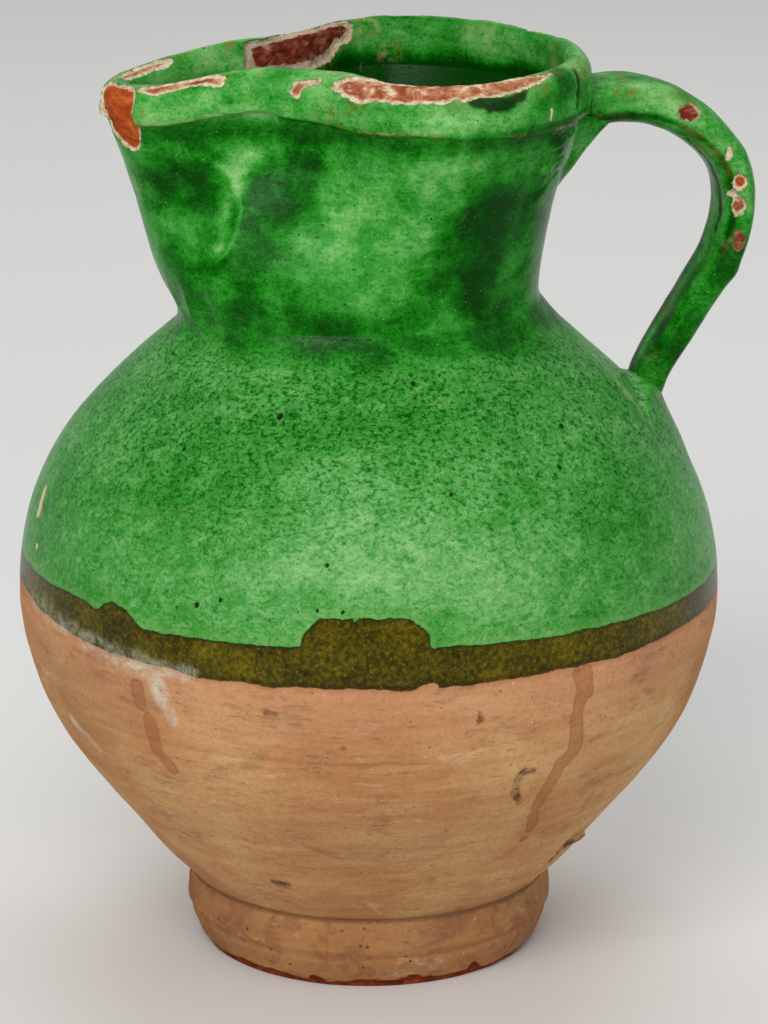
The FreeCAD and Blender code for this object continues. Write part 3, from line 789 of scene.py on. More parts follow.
def belly_finish():
    """Bare clay, slip and glaze with the edges of both coats, and drips, lime and stains on the clay."""
    finish, shine = Finish("slip_and_green_glaze_on_the_belly"), 0.28
    colour, relief = glaze_finish(finish, finish.value("tone"), finish.value("peel"))
    clay, clay_roughness, clay_relief = clay_finish(finish)
    ragged = finish.cloud(1.3, 3.0, 0.6) - 0.5
    over_glaze, over_slip = finish.value("glaze_above"), finish.value("slip_above")
    slip = over_slip + ragged * 1.3
    glazed = (over_glaze + ragged * 1.2).between(-0.2, 0.2)
    speckle = finish.cloud(0.7, 2.0, 0.7)
    gold = (1 - finish.cells(1.9).between(0.1, 0.22)) * 0.6
    olive = finish.ramp(speckle * 0.8 + finish.cloud(7, 3.0, 0.6) * 0.5 - 0.15,
                        [(0.25, "#1e1a00"), (0.45, "#3c3500"), (0.62, "#5a5000"), (0.85, "#80700c")])
    olive = finish.mix(gold * 0.45, olive, "#a08a2c")
    olive = finish.mix((1 - (over_glaze - 0.7).size().between(0.2, 1.2)) * 0.5, olive, "#2a1602")
    slipped = slip.between(-0.25, 0.25)
    line = 1 - (slip + 0.35).size().between(0.2, 0.6)
    thick = slip.between(0.1, 0.6) * (1 - slip.between(1.0, 2.6))
    green = finish.mix(thick * 0.16, colour, "#8cba68")
    green = finish.mix((1 - slip.between(0.5, 6.0)) * 0.2, green, "#4f8f2c")
    colour = finish.mix(slipped, olive, green)
    colour = finish.mix(line * 0.42, colour, "#1b2205")
    peeled = finish.value("break_inside").between(-0.2, 0.2) * slipped
    colour = finish.mix(peeled, colour, "#d5bd98")
    pin = finish.value("pinhole").between(-0.3, 0.1)
    colour = finish.mix(pin, colour, "#141c05")
    clay = finish.mix((0 - finish.value("tone")).between(0.0, 0.8) * 0.42, clay, "#86603e")
    drip, lime = finish.value("drip"), finish.value("lime")
    clay = finish.mix(drip.between(-0.6, 0.5) * (0.22 + 0.6 * finish.cloud(4, 2.0)), clay, "#985832")
    clay = finish.mix((1 - (drip - 0.1).size().between(0.1, 0.6)) * 0.24, clay, "#75421f")
    chalky = finish.cloud(2.2, 5.0, 0.72, 1.0)
    chalk = lime.between(-1.2, 1.8) * chalky.between(0.3, 0.66)
    clay = finish.mix(chalk * 0.75, clay, "#cfc7b4")
    patchy = 0.3 + 0.6 * finish.cloud(1.6, 3.0, 0.7).between(0.4, 0.6)
    clay = finish.mix(finish.value("dark_mark").between(-0.8, 0.5) * patchy, clay, "#52342a")
    under = over_glaze.between(-2.0, 0.0) * (1 - glazed)
    clay = finish.mix(under * 0.4, clay, "#a0623c")
    film = lime.between(-1.4, 1.8) * chalky.between(0.34, 0.66) * glazed
    colour = finish.mix(film * 0.6, colour, "#a6a68e")
    colour = finish.mix(glazed, clay, colour)
    glass = glazed * (1 - peeled) * (1 - film * 0.9)
    roughness = clay_roughness + (shine - clay_roughness) * glass
    relief = (clay_relief + (relief * slipped + speckle * 0.08 - clay_relief) * glazed
              + glazed * 0.4 + slipped * 0.35 - peeled * 0.4 - pin * 0.5 + chalk * 0.1)
    return finish.fired(colour, roughness, relief)


def neck_finish():
    """Glaze with chips down to the clay, each with an edge of cream slip, and with worn and dark places."""
    finish, shine, gloss = Finish("green_glaze_with_chips"), 0.25, 0.055
    colour, relief = glaze_finish(finish, finish.value("tone"), finish.value("peel"))
    inside = finish.value("break_inside") + (finish.cloud(0.9, 3.0, 0.65) - 0.5) * 1.4
    edge = finish.value("cream_edge") + (finish.cloud(1.6, 2.0, 0.6) - 0.5) * 2.2
    border = inside.between(-0.3, 0.1)
    clay_seen = (inside - edge).between(-0.1, 0.5)
    cream = finish.ramp(finish.cloud(0.9, 4.0, 0.7), [(0.3, "#8f7b5e"), (0.46, "#c0ab8b"), (0.64, "#ded2b8")])
    cream = finish.mix(finish.value("break_age").between(0.5, 0.9) * 0.55, cream, "#a08878")
    broken, rough_relief = broken_finish(finish, finish.value("break_age"))
    colour = finish.mix(border, colour, cream)
    colour = finish.mix(clay_seen * border, colour, broken)
    thin = finish.value("worn") * finish.cloud(1.3, 4.0, 0.68).between(0.4, 0.62)
    stain = finish.ramp(finish.cloud(5, 2.0, 0.6), [(0.35, "#7c4f24"), (0.5, "#8f6c3c"), (0.62, "#b3a678")])
    colour = finish.mix(thin * (1 - border) * 0.75, colour, stain)
    dark = finish.value("pool").between(-0.6, 0.8) * (1 - border)
    colour = finish.mix(dark * 0.9, colour, "#071c04")
    bare = border.most(thin * 0.5)
    relief = relief * (1 - border) + (rough_relief - 0.35) * border
    return finish.fired(colour, shine + (0.85 - shine) * bare, relief, gloss)


def foot_finish():
    finish = Finish("bare_clay_of_the_foot")
    colour, roughness, relief = clay_finish(finish)
    raw = finish.value("raw_edge") + (finish.cloud(1.6, 3.0, 0.6) - 0.5) * 1.4
    grime = finish.cloud(5, 4.0, 0.7, 0.8)
    colour = finish.mix(grime.between(0.46, 0.62) * 0.5, colour, "#7c503a")
    pitted = (1 - finish.cells(3.4).between(0.08, 0.17)) * finish.cloud(6, 2.0).between(0.46, 0.56)
    colour = finish.mix(pitted * 0.7, colour, "#4e2a1a")
    raw_clay = finish.ramp(finish.cloud(2.0, 3.0, 0.65),
                           [(0.3, "#55200f"), (0.5, "#7c3015"), (0.7, "#9b4a26")])
    colour = finish.mix(raw.between(-0.3, 0.4), colour, raw_clay)
    relief = relief - pitted * 0.3 + raw.between(-0.3, 0.4) * finish.cloud(1.0) * 0.3
    return finish.fired(colour, roughness, relief)


belly_coats, neck_glaze, foot_clay = belly_finish(), neck_finish(), foot_finish()


# Foot

# Where the foot's rest is chipped to raw clay, as turn, height and half width
raw_spots = [
    (64, 0.5, 3.0), (96, 0.0, 4.2), (118, 0.6, 3.4), (40, 0.2, 2.2), (-60, 0, 3.5), (-140, 0.4, 3.0)
]
raw_spot_radius = 53


def foot_ring():
    outside = smooth_curve([(51.2, 1.6), (54.9, 13.5), (foot_seat_radius, foot_height)], 46)
    low = [(foot_rest_radius, 0.0), (50.2, 0.12), (50.73, 0.47), (51.08, 1.0)]
    top = spaced([(foot_seat_radius, foot_height), (foot_hollow_top_radius, foot_height)], 8)[1:]
    hollow = spaced([(foot_hollow_top_radius, foot_height), (foot_hollow_radius, 1.6)], 12)[1:]
    under = [(38.97, 0.47), (40.1, 0.0)] + spaced([(40.1, 0.0), (foot_rest_radius, 0.0)], 10)[1:-1].tolist()
    section = np.concatenate([low, outside, top, hollow, under])
    points, turn = revolved(section, 512)
    height = points[..., 2]
    seen = (np.arange(len(section)) < len(low) + len(outside))[:, None]
    seen = seen * smooth_step((foot_height - height) / 2.5)
    relief = 0.35 * noise(points, 40.0, 41) + 0.18 * noise(points, 9.0, 42, 2)
    relief += throwing_rings(points, 0.16, 5.0, 43)
    relief -= 0.22 * hump(height - 10.2, 0.8 * noise(points, 30.0, 44), 0.9)
    relief += 0.35 * hump(height, 12.4, 1.2)
    ragged = 2.5 + 1.3 * noise(points, 13.0, 45, 3) - height
    rough, degree = 0.8 * noise(points, 2.5, 46, 2), raw_spot_radius * math.pi / 180
    for spot in raw_spots:
        ragged = np.maximum(ragged, stroke(turn * degree, height, laid_out([spot], degree)) + rough)
    relief -= 1.1 * smooth_step(ragged / 1.6)
    relief = np.minimum(relief - 0.1, 0.35)
    out = outward_of(section, turn)
    out[..., 2] = 0
    mesh, take = closed_mesh("foot_ring", points + out * (relief * seen)[..., None])
    raw = np.where(seen > 0, ragged, nowhere)
    return finish_piece(mesh, "foot_ring", foot_clay, {"raw_edge": raw}, take)


# Bowl and dome

def limited(grid):
    """Keeps the relief of the belly within its widest radius."""
    radius = np.hypot(grid[..., 0], grid[..., 1])
    share = np.minimum(1.0, (belly_radius - 0.02) / np.maximum(radius, 1e-6))
    grid[..., :2] *= share[..., None]
    return grid


def body_normals(section, turn):
    out, up = body_at(section[:, 1])[1:]
    return round_jug(out[:, None], turn, up[:, None])


# Columns of the bowl and the dome, few enough to keep each piece under 200,000 triangles
body_columns = 540


def lower_body():
    outside = body_stretch(foot_height, glaze_line_height, 0.0, 150)
    inside = body_stretch(floor_top + wall, glaze_line_height, wall, 26)[::-1]
    low = [(0.0, floor_under), (16.0, floor_under), (31.5, floor_under), (37.5, foot_height),
           (46.0, foot_height)]
    floor = [(inside[-1][0] - wall, floor_top), (20.0, floor_top), (0.0, floor_top)]
    section = np.concatenate([low, outside, inside, floor])
    grid, turn = revolved(section, body_columns)
    row = np.arange(len(section))[:, None]
    seen = (row >= len(low)) & (row < len(low) + len(outside))
    relief = body_relief(turn, grid) * seen
    values = coat_values(turn, grid, seen)
    grid = limited(grid + body_normals(section, turn) * relief[..., None])
    mesh, take = closed_mesh("lower_body", grid)
    return finish_piece(mesh, "lower_body", belly_coats, values, take)


def shoulder():
    """The dome, with the clay that the potter wiped up into the corner under the neck."""
    corner_height, wipe_rise, wipe_rows, throat_radius = 189.0, 6.5, 14, 56.0
    outside = body_stretch(glaze_line_height, corner_height, 0.0, 146)
    inner = body_stretch(glaze_line_height, neck_base_height - wall, wall, 12)[::-1]
    section = np.concatenate([outside, [(neck_base_radius, neck_base_height)] * (wipe_rows + 1),
                              [(neck_base_radius - neck_wall, neck_base_height)], inner])
    grid, turn = revolved(section, body_columns)
    count = len(outside)
    row = np.arange(len(section))[:, None]
    seen, glazed = row < count, row < count + wipe_rows
    normals = body_normals(section, turn)
    relief = body_relief(turn, grid) * seen
    values = coat_values(turn, grid, seen)
    raised = grid + normals * relief[..., None]
    # The wiped clay bends from the dome's last row past the corner and up on to the neck
    wiped = slice(count, count + wipe_rows)
    around, rise = turn[wiped], np.full(turn[wiped].shape, wipe_rise)
    top, out = neck_place(around, rise, -0.35)
    top += out * neck_relief(around, rise, neck_place(around, rise, 0.0)[0])[..., None]
    elbow = grid[count] + normals[count - 1] * (0.3 + 0.5 * relief[count - 1][:, None])
    up = np.linspace(0, 1, wipe_rows + 1)[1:, None, None]
    wipe = raised[count - 1] * (1 - up) ** 2 + elbow * 2 * up * (1 - up) + top * up ** 2
    grid = limited(raised)
    grid[wiped] = wipe
    level = grid[..., 2]
    smooth_glaze = smooth_step((level - 186.5) / 9)
    values["peel"] = np.where(glazed, 1 - 0.85 * smooth_glaze, 0.3)
    # The walls inside the jug take a tone of -0.8: painted shade in the hollow
    values["tone"] = np.where(glazed, cloud_tone(turn, level, throat_radius) - 0.12 * smooth_glaze, -0.8)
    mesh, take = closed_mesh("shoulder", grid)
    return finish_piece(mesh, "shoulder", belly_coats, values, take)


# Neck and rim

ridge_line = [
    (-180, -1.5), (-140, 0.5), (-100, -1.0), (-60, 0.0), (-40, 2.0), (-20, 1.0), (0, 0.3), (19.6, 0.8),
    (26.4, 2.0), (34.8, 2.9), (39, 2.2), (44.8, 0.8), (62.8, 0.0), (78, -1.0), (95, 0.4), (109, -1.0),
    (121.6, -2.0), (132, -3.0), (150, -2.5), (180, -1.5)
]
band_step, band_crown, band_roll = 1.9, 1.3, 5.2
band_line = smooth_curve([(band_step, 0.0), (band_step + 0.25 * band_crown, 0.25 * band_height),
                          (band_step, 0.5 * band_height), (band_step - 0.25 * band_roll, 0.78 * band_height),
                          (band_step - 0.6 * band_roll, 0.93 * band_height),
                          (band_step - 0.86 * band_roll, 0.99 * band_height), (-4.2, band_height),
                          (-5.1, 0.965 * band_height), (-5.9, 0.86 * band_height), (-6.5, 0.5 * band_height),
                          (-6.5, 0.0)], 96)
band_line[:, 1] = np.clip(band_line[:, 1], 0, band_height)
# Distance along the band's section from its crown, negative inside the mouth
band_section = lengths_along(band_line)
band_section = band_section[np.argmax(band_line[:, 1])] - band_section


def band_stands(turn, rise):
    """How far the band stands out from the neck at each rise, with its wandering lower edge."""
    return band_step * smooth_step((rise - neck_height - read_off(ridge_line, turn) + 0.6) / 1.3)


def ledge(turn, rise):
    """1 on the thin worn line along the band's lower edge."""
    return hump(rise - neck_height - read_off(ridge_line, turn), 0.8, 0.75)


def glazed_wall(turn, rise, section, points, seed):
    """Breaks, worn places and tones of the neck and rim: depth of the breaks and values for the material."""
    arc = rim_arc(turn)
    depth, inside, age, cream = damage(arc, section, points, rim_breaks, seed)
    pool = np.full(depth.shape, nowhere)
    for cut, corners in rim_pools:
        here = outline_inside(arc, section, on_rim(corners)) + 0.6 * noise(points, 3.0, 64, 2)
        depth = depth + cut * smooth_step(here / 1.2 + 0.4)
        pool = np.maximum(pool, here)
    # Painted shade deeper inside the mouth (within), and painted light on the inner wall just below the lip
    # (lip)
    within = smooth_step((-section - 9) / 8)
    band = smooth_step((rise - neck_height) / 2) * smooth_step((section + 2) / 3)
    lip = smooth_step((-section - 1) / 3) * (1 - within)
    # Painted shade on the neck just under the band's ledge
    shade_under_band = hump(rise, neck_height - 3, 3)
    tone = cloud_tone(turn, points[..., 2], neck_radius(turn, rise)) * (1 - within)
    tone = tone + 0.37 * band - 0.95 * within + 0.25 * lip - 0.4 * shade_under_band
    # A painted highlight along the ridge round the dent
    tone = tone + 0.42 * dent_edge(turn, points[..., 2]) * (section > 0)
    worn = 0.6 * hump(section, 0.5, 2.2) * patches(points, 14.0, 61, -0.2, 0.6)
    worn = worn + 0.75 * ledge(turn, rise) * (section > 0) * patches(points, 11.0, 62, -0.5, 0.5)
    worn = worn + 0.55 * patches(points, 11.0, 65, 0.0, 0.5) * smooth_step((rise - neck_height) / 3)
    return depth, {"break_inside": inside, "break_age": age, "cream_edge": cream, "tone": tone, "worn": worn,
                   "pool": pool, "peel": np.full(turn.shape, 0.12)}


# The breaks run from the band down on to the neck, so both take their ragged edges from one seed
break_seed = 71


def neck():
    rises, inner_rises = neck_height * np.linspace(0, 1, 112), neck_height * np.linspace(1, 0, 42)
    turn, rise = np.broadcast_arrays(column_turns(640), np.concatenate([rises, inner_rises])[:, None])
    outside = (np.arange(len(rise)) < len(rises))[:, None]
    points, out = neck_place(turn, rise, np.where(outside, 0.0, -neck_wall))
    from_top = neck_height - rise
    section = np.where(outside, band_section[0] + from_top, band_section[-1] - from_top)
    depth, values = glazed_wall(turn, rise, section, points, break_seed)
    shaped = neck_relief(turn, rise, points) + band_stands(turn, rise)
    shaped = np.where(outside, shaped, 0.4 * noise(points, 26.0, 25)) - depth
    mesh, take = closed_mesh("neck", points + out * shaped[..., None])
    return finish_piece(mesh, "neck", neck_glaze, values, take)


def rim_band():
    def rows(values, seat):
        """A value for each row of the band's line, and one for the row that lies hidden in its seat."""
        return np.concatenate([values, [seat]])[:, None]

    along = unit(np.gradient(band_line, axis=0))
    lean_out, lean_up = rows(along[:, 1], 0.0), rows(-along[:, 0], 0.0)
    seen = rows(np.ones(len(band_line)), 0.0)
    offset = rows(band_line[:, 0], -3.0)
    turn, rise, section = np.broadcast_arrays(column_turns(900), neck_height + rows(band_line[:, 1], 0.0),
                                              rows(band_section, band_section[-1] - 2))
    base = neck_place(turn, rise, offset)[0]
    depth, values = glazed_wall(turn, rise, section, base, break_seed)
    outer = smooth_step((section - 4) / 4)
    below = neck_relief(turn, rise, neck_place(turn, rise, 0.0)[0])
    low = 1 - smooth_step((rise - neck_height) / 4)
    stands = band_stands(turn, rise)
    uneven = 0.4 * noise(base, 18.0, 51) * (0.4 + 0.6 * outer) + 0.18 * noise(base, 5.0, 52)
    uneven = uneven - 0.6 * hump(section, 10.5, 1.4) * patches(base, 30, 53, -0.6, 1.0, 1)
    relief = (stands - band_step) * outer + np.where(section > 0, below * low, 0) + uneven * (1 - low)
    worn_down = 0.5 * patches(base, 22.0, 54, 0.1, 0.5) * hump(section, 0, 4.0)
    broken = smooth_step(values["break_inside"] / 1.2) * (1 - smooth_step((rise - neck_height) / 9))
    relief = (relief - worn_down - depth - 0.85 * broken * (section > 8) * stands) * seen
    places = neck_place(turn, rise, offset + relief * lean_out)[0]
    places[..., 2] += relief * lean_up * (1 - low) - 0.25 * hump(section, 0, 5.0)
    places[..., 2] = np.minimum(places[..., 2], crown_height)
    mesh, take = closed_mesh("rim_band", places)
    return finish_piece(mesh, "rim_band", neck_glaze, values, take)


# Handle: a strap pulled along its route by geometry nodes

handle_top, handle_low, handle_reach, handle_start = 254.6, 164.4, 109.1, 58.0
handle_foot_sink, handle_limit = 1.5, 114.6
upper_route = [
    (0.0, 0.02), (0.30, 0.0), (0.52, 0.02), (0.70, 0.07), (0.86, 0.145), (0.965, 0.235), (1.0, 0.335)
]
lower_route = [
    (0.963, 0.44), (0.840, 0.545), (0.646, 0.64), (0.448, 0.735), (0.239, 0.835), (0.086, 0.925),
    (0.0, 1.0), (-0.06, 1.045)
]


def strap_route(count):
    foot = float(body_at(np.array([handle_low]))[0][0]) - handle_foot_sink
    knots = [(start + out * (handle_reach - start), handle_top - down * (handle_top - handle_low))
             for start, shares in ((handle_start, upper_route), (foot, lower_route)) for out, down in shares]
    line = smooth_curve(knots, count)
    return np.stack([line[:, 0], 0 * line[:, 0], line[:, 1]], axis=-1)


def new_tree(name, sizes):
    """A geometry node tree whose named inputs are the sizes it works from."""
    tree = bpy.data.node_groups.new(name, "GeometryNodeTree")
    tree.interface.new_socket("Geometry", in_out="INPUT", socket_type="NodeSocketGeometry")
    for size, value in sizes:
        kind = "NodeSocketInt" if isinstance(value, int) else "NodeSocketFloat"
        tree.interface.new_socket(size, in_out="INPUT", socket_type=kind)
    tree.interface.new_socket("Geometry", in_out="OUTPUT", socket_type="NodeSocketGeometry")
    return tree, tree.nodes.new("NodeGroupInput").outputs


def grown(name, mesh, tree, sizes):
    """The plain mesh that a geometry node tree makes from a mesh and its sizes."""
    holder = bpy.data.objects.new(name, mesh)
    bpy.context.scene.collection.objects.link(holder)
    work = holder.modifiers.new(name, "NODES")
    work.node_group = tree
    known = {item.name: item.identifier for item in tree.interface.items_tree if item.in_out == "INPUT"}
    for size, value in sizes:
        work[known[size]] = value
    holder.update_tag()
    bpy.context.view_layer.update()
    graph = bpy.context.evaluated_depsgraph_get()
    made = bpy.data.meshes.new_from_object(holder.evaluated_get(graph))
    holder.modifiers.clear()
    bpy.data.objects.remove(holder)
    return made


def strap_tree(material, sizes):
    """A tube whose places are moved to the strap's section along its route, which is the mesh it is given."""
    tree, given = new_tree("pulled_strap", sizes)

    def make(kind, settings, inputs, output=0):
        return add_node(tree, kind, settings, inputs, output)

    def maths(operation, *values):
        return make("ShaderNodeMath", {"operation": operation}, dict(enumerate(values)))

    def vectors(operation, *values):
        return make("ShaderNodeVectorMath", {"operation": operation}, dict(enumerate(values)))

    route = make("GeometryNodeMeshToCurve", {}, {0: given["Geometry"]})
    tube = make("GeometryNodeMeshCylinder", {"fill_type": "NGON"},
                {"Vertices": given["Points round"], "Side Segments": given["Stations"], "Radius": 1.0,
                 "Depth": 1.0})
    here = make("GeometryNodeInputPosition", {}, {})
    apart = make("ShaderNodeSeparateXYZ", {}, {0: here})
    maker = apart.node
    share = maths("SUBTRACT", 0.5, maker.outputs[2])
    reading = make("GeometryNodeSampleCurve", {"mode": "FACTOR", "data_type": "FLOAT"},
                   {"Curves": route, "Factor": share}, "Position").node
    centre, along = reading.outputs["Position"], reading.outputs["Tangent"]
    across = (0.0, 1.0, 0.0)
    through = vectors("CROSS_PRODUCT", across, along)

    def rounded(part):
        size = maths("POWER", maths("ABSOLUTE", part), given["Corner power"])
        return maths("MULTIPLY", maths("SIGN", part), size)

    def between(low, high, part):
        return make("ShaderNodeMapRange", {}, {"Value": part, "To Min": low, "To Max": high})

    upper = between(given["Width at the rim"], given["Width at the bend"], maths("MULTIPLY", share, 2.0))
    lower = between(0.0, maths("SUBTRACT", given["Width at the bend"], given["Width at the foot"]),
                    maths("SUBTRACT", maths("MULTIPLY", share, 2.0), 1.0))
    width = maths("SUBTRACT", upper, lower)
    thickness = between(given["Thickness at the rim"], given["Thickness at the foot"], share)
    wide = maths("MULTIPLY", maths("MULTIPLY", rounded(maker.outputs[0]), width), 0.5)
    deep = maths("MULTIPLY", maths("MULTIPLY", rounded(maker.outputs[1]), thickness), 0.5)
    spread = make("ShaderNodeVectorMath", {"operation": "SCALE"}, {0: across, "Scale": wide})
    raised = make("ShaderNodeVectorMath", {"operation": "SCALE"}, {0: through, "Scale": deep})
    placed = vectors("ADD", vectors("ADD", centre, spread), raised)
    strap = make("GeometryNodeSetPosition", {}, {"Geometry": tube, "Position": placed})
    whole = make("GeometryNodeRealizeInstances", {}, {0: strap})
    painted = make("GeometryNodeSetMaterial", {}, {"Geometry": whole, "Material": material})
    tree.links.new(painted, tree.nodes.new("NodeGroupOutput").inputs[0])
    return tree


# Breaks of the strap: depth, age, width of cream edge, centre and half sizes
strap_chips = [
    (0.9, 0.85, 0.2, (92.8, -12.6, 251.8), (3.3, 3.2, 2.5)),
    (0.5, 0.0, 5.0, (104.5, -12.4, 239.3), (1.2, 2.6, 2.0)),
    (0.8, 0.1, 0.9, (108.4, -12.2, 230.2), (2.4, 3.0, 2.7)),
    (0.4, 0.0, 5.0, (105.8, -12.2, 227.0), (1.2, 2.6, 1.2)),
    (0.8, 0.6, 0.25, (107.7, -11.8, 223.6), (2.2, 3.0, 3.1)),
    (0.4, 0.72, -2.0, (108.3, -11.6, 212.7), (1.6, 2.6, 2.7)),
    (0.4, 0.0, 5.0, (90.0, -10.0, 191.0), (0.9, 1.6, 0.9)),
    (0.6, 0.6, 0.6, (112.0, 9.0, 226.0), (2.0, 2.6, 3.0)),
    (0.6, 0.5, 0.6, (98.0, 6.0, 251.0), (2.6, 2.2, 1.6))
]


# The dark fold down the inner face of the bend, as places from side to side, heights and half widths
strap_fold = [
    (-9.5, 243, 0.5), (-6.6, 238, 0.9), (-5.0, 232, 1.1), (-5.0, 226, 1.3), (-5.4, 221, 1.2),
    (-4.6, 215, 0.5)
]


def lump(points, centre, half):
    """1 at a centre, falling softly to 0 over its half sizes."""
    return np.exp(-np.sum(((points - centre) / half) ** 2, axis=1))


def handle():
    sizes = [("Points round", 72), ("Stations", 300), ("Width at the rim", 28 * MM),
             ("Width at the bend", 24 * MM), ("Width at the foot", 20 * MM),
             ("Thickness at the rim", 13.4 * MM), ("Thickness at the foot", 9 * MM),
             ("Corner power", 2 / 2.9)]
    line = strap_route(400)
    guide = bpy.data.meshes.new("strap_route")
    guide.from_pydata((line * MM).tolist(), [(spot, spot + 1) for spot in range(len(line) - 1)], [])
    mesh = grown("strap", guide, strap_tree(neck_glaze, sizes), sizes)
    count = len(mesh.vertices)
    points, normals = np.zeros(count * 3), np.zeros(count * 3)
    mesh.vertices.foreach_get("co", points)
    mesh.vertices.foreach_get("normal", normals)
    points, normals = points.reshape(-1, 3) / MM, normals.reshape(-1, 3)
    relief = 0.4 * noise(points, 24.0, 81) + 0.22 * noise(points, 8.0, 82, 2)
    inside, age, cream = np.full(count, nowhere), np.zeros(count), np.zeros(count)
    rough = 0.3 * noise(points, 2.2, 83, 2)
    for cut, old, edge, centre, half in strap_chips:
        here = (1 - np.linalg.norm((points - centre) / half, axis=1) - rough) * min(half)
        relief -= cut * smooth_step(here / 0.9 + 0.2)
        age, cream = np.where(here > inside, old, age), np.where(here > inside, edge, cream)
        inside = np.maximum(inside, here)
    relief += 0.7 * lump(points, (107.5, -9.9, 203.0), (3.0, 3.0, 3.4))
    fold = stroke(points[:, 1], points[:, 2], strap_fold)
    fold = np.where(normals[:, 0] < -0.15, fold + 0.6 * noise(points, 2.4, 88, 2), nowhere)
    relief -= 0.5 * smooth_step(fold / 1.2 + 0.4)
    points = points + normals * np.minimum(relief - 0.15, 0.6)[:, None]
    points[:, 0] = np.minimum(points[:, 0], handle_limit)
    mesh.vertices.foreach_set("co", (points * MM).ravel())
    tall = points[:, 2]
    inner = -normals[:, 0] * smooth_step((tall - 200) / 20) - normals[:, 2] * smooth_step((tall - 225) / 15)
    corner = smooth_step((np.abs(points[:, 1]) - 9.0) / 2.5) * hump(inner, 0.45, 0.3)
    worn = 0.45 * smooth_step((normals[:, 2] - 0.25) / 0.4) * patches(points, 9.0, 84, 0.15, 0.4)
    worn += 0.8 * lump(points, (74.4, -12.2, 258.4), (5.0, 4.0, 2.2))
    worn += 0.8 * lump(points, (97.6, -11.0, 241.0), (4.0, 3.0, 2.4))
    worn += 0.5 * corner * patches(points, 5.0, 86, -0.1, 0.3)
    # Streaks that run along the strap, with painted shade on the inner face that looks at the jug and down
    # under the bend; darker too along the inner side corners and towards the foot
    tone = 0.3 * noise(points, 14.0, 85, 2) + 0.5 * noise(points * (0.22, 1.0, 0.22), 4.5, 87, 2) - 0.1
    tone -= 1.1 * corner + 0.3 * smooth_step((215 - tall) / 25) + 0.25 * smooth_step(inner)
    values = {"break_inside": inside, "break_age": age, "cream_edge": cream, "tone": tone, "worn": worn,
              "pool": fold, "peel": np.full(count, 0.2)}
    return finish_piece(mesh, "handle", neck_glaze, values)


# Clay wiped over the handle's roots

# How far the back of a patch of clay lies in the wall behind it, and how far its edge is sunk
patch_back, patch_lift, patch_sunk = 2.2, 0.4, 0.5
# Smears of the upper root: height, then turn, height and half width. One degree there is 1.05 mm.
root_smears = [
    (1.3, [(153, 249.3, 2.08), (137, 247.2, 0.78)]), (1.1, [(151, 242.3, 2.4), (135.5, 240.7, 0.9)]),
    (0.7, [(152, 236.0, 2.88), (140, 233.0, 1.08)]), (1.1, [(205, 247.0, 2.56), (220, 243.0, 0.96)])
]
root_films = [[(160, 246, 9.0), (146, 245, 4.5)], [(200, 246, 8.0)]]
root_degree = 1.05
wedge_foot, fillet_foot, fillet_place, patch_top = 229.7, 240, 14.5, 255.5


def luted_clay(name, surface, height, edge, material, values):
    """A patch of clay on a surface, its edge sunk into it."""
    normal = unit(np.cross(np.gradient(surface, axis=1), np.gradient(surface, axis=0)))
    height = (height + patch_lift) * edge - patch_sunk
    mesh, take = sheet_mesh(name, surface + normal * height[..., None], surface - normal * patch_back)
    return finish_piece(mesh, name, material, values, take)


def upper_root_clay():
    """Clay wiped from the strap's underside and sides down on to the neck."""
    turn, rise = np.broadcast_arrays(np.linspace(134, 226, 250), np.linspace(34, 63.5, 150)[:, None])
    surface, out = neck_place(turn, rise, 0.0)
    side, tall = np.abs(surface[..., 1]), surface[..., 2]

    def brushed(route):
        return stroke(turn * root_degree, tall, laid_out(route, root_degree))

    # Clay that thickens upwards under the strap, and a fillet along each of the strap's sides
    wedge = 0.40 * np.maximum(tall - wedge_foot, 0) * (1 - smooth_step((side - 8.5) / 8.0))
    fillet = 3.4 * smooth_step((tall - fillet_foot) / 6) * hump(side, fillet_place, 3.4)
    height = np.maximum(wedge, fillet)
    for lift, route in root_smears:
        height = np.maximum(height, lift * smooth_step(brushed(route) / 1.5 + 0.4))
    thick = smooth_step(height)
    for route in root_films:
        height = np.maximum(height, 0.9 * smooth_step(brushed(route) / 5))
    height = height + 0.25 * noise(surface, 6.0, 91, 2) * thick
    edge = (smooth_step((tall - 229) / 3) * smooth_step((patch_top - tall) / 2)
            * smooth_step((44 - np.abs(turn - 180)) / 4))
    turn = turn - 360 * (turn > 180)
    surface = surface + out * (neck_relief(turn, rise, surface) + band_stands(turn, rise))[..., None]
    whole = np.full(height.shape, nowhere)
    tone = cloud_tone(turn, tall, 60.0) + 0.3 * noise(surface, 10.0, 95)
    values = {"break_inside": whole, "break_age": 0 * whole, "cream_edge": 0 * whole, "tone": tone,
              "worn": 0 * whole, "pool": whole, "peel": 0 * whole + 0.15}
    return luted_clay("upper_root_clay", surface, height, edge, neck_glaze, values)


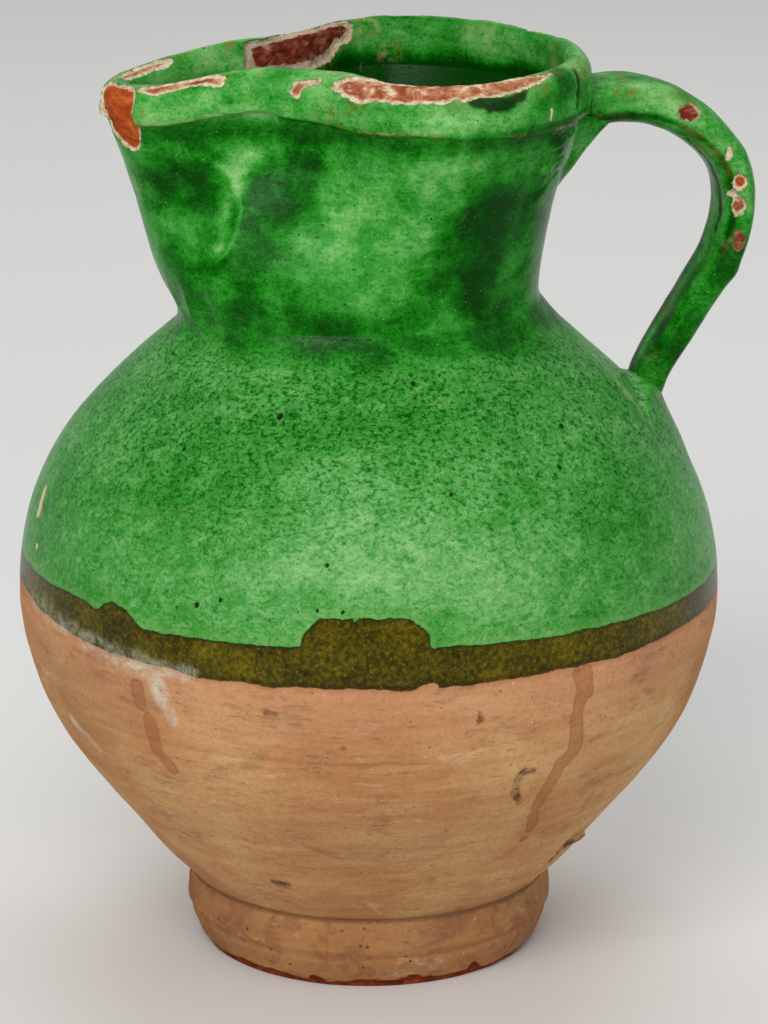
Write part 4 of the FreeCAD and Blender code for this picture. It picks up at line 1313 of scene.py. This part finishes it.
def lower_root_clay():
    """The strap's end, pressed on to the dome and drawn out into a tail on the near side."""
    near, far, low, high = -38, 22, 30, -19
    across, down = np.linspace(near, far, 190)[None, :], np.linspace(low, high, 170)[:, None]
    spots = lengths_along(BODY)
    centre = spots[np.argmin(np.abs(BODY[:, 1] - handle_low))]
    tall = np.interp(centre - down, spots, BODY[:, 1]) + 0 * across
    radius = np.interp(centre - down, spots, BODY[:, 0]) + 0 * across
    azimuth = across / radius
    surface = np.stack([radius * np.cos(azimuth), radius * np.sin(azimuth), tall], axis=-1)
    turn = np.degrees(azimuth) + 180
    turn = turn - 360 * (turn > 180)
    out = body_normals(np.stack([radius[:, 0], tall[:, 0]], axis=-1), turn)
    surface = surface + out * body_relief(turn, surface)[..., None]
    upper_edge = np.interp(across, [-38, -34, -26, -14, -3, 10, 22], [6.0, 1.1, -5.0, -9.0, -10.5, -8.0, 0.0])
    steep = np.interp(across, [-36, -26, -16, -4], [2.0, 2.6, 5.0, 9.0])
    side = np.clip(np.where(across < 0, (-across - 8) / 28, (across - 8) / 10), 0, 1)
    height = (6.4 * (1 - side) ** 1.25 * np.exp(-np.maximum(down + 4, 0) / 11)
              * smooth_step((down - upper_edge) / steep + 0.1) * smooth_step((26 - down) / 12))
    height = height + 0.25 * noise(surface, 8.0, 93) * smooth_step(height / 2)
    edge = 1.0
    for inward in (far - across, across - near, low - down, down - high):
        edge = edge * smooth_step((inward - 0.5) / 3)
    values = coat_values(turn, surface, np.ones(height.shape, bool))
    values["peel"] = 1 - 0.7 * smooth_step(((height + patch_lift) * edge - patch_sunk) / 4)
    return luted_clay("lower_root_clay", surface, height, edge, belly_coats, values)


foot_ring()
lower_body()
shoulder()
neck()
rim_band()
handle()
upper_root_clay()
lower_root_clay()


# Floor, light and camera

def plain_floor():
    mesh = bpy.data.meshes.new("table_top")
    mesh.from_pydata([(-9, -9, 0), (9, -9, 0), (9, 9, 0), (-9, 9, 0)], [], [(0, 1, 2, 3)])
    floor = bpy.data.objects.new("table_top", mesh)
    bpy.context.scene.collection.objects.link(floor)
    finish = Finish("pale_table_top")
    shader = finish.node("ShaderNodeBsdfPrincipled", {}, {"Base Color": finish.colour("#d9d9d7"),
                                                          "Roughness": 0.55, "Specular IOR Level": 0.3})
    finish.node("ShaderNodeOutputMaterial", {}, {"Surface": shader})
    mesh.materials.append(finish.material)


def soft_light(name, place, target, size, power, colour):
    lamp = bpy.data.lights.new(name, "AREA")
    lamp.shape, lamp.size, lamp.size_y = "RECTANGLE", size[0], size[1]
    lamp.energy, lamp.color = power, colour
    light = bpy.data.objects.new(name, lamp)
    light.location = place
    light.rotation_euler = (Vector(target) - Vector(place)).to_track_quat("-Z", "Y").to_euler()
    bpy.context.scene.collection.objects.link(light)


plain_floor()
soft_light("window_left", (-0.75, -1.7, 1.65), (0, 0, 0.14), (1.5, 1.0), 37, (1.0, 0.99, 0.97))
soft_light("window_gap", (-1.71, -1.11, 0.98), (0, 0, 0.18), (0.10, 0.16), 3.2, (1.0, 1.0, 1.0))
soft_light("window_right", (1.9, -1.4, 1.3), (0, 0, 0.14), (2.0, 1.6), 10, (0.97, 0.99, 1.0))
soft_light("ceiling_back", (0.3, 1.2, 2.0), (0, 0, 0.2), (2.0, 1.4), 22, (1.0, 1.0, 1.0))

world = bpy.data.worlds.new("room")
world.use_nodes = True
world.node_tree.nodes["Background"].inputs[0].default_value = (0.80, 0.81, 0.82, 1.0)
world.node_tree.nodes["Background"].inputs[1].default_value = 0.45
bpy.context.scene.world = world

camera = bpy.data.cameras.new("camera")
camera.lens, camera.sensor_width = 147.66, 36.0
camera.shift_x, camera.shift_y = 0.0151, -0.0082
eye = bpy.data.objects.new("camera", camera)
eye.location = (-0.1877, -1.1853, 0.4849)
yaw, pitch = math.radians(9.0), math.radians(16.3)
ahead = Vector((math.sin(yaw) * math.cos(pitch), math.cos(yaw) * math.cos(pitch), -math.sin(pitch)))
eye.rotation_euler = ahead.to_track_quat("-Z", "Y").to_euler()
bpy.context.scene.collection.objects.link(eye)
bpy.context.scene.camera = eye
bpy.context.scene.view_settings.view_transform = "Standard"
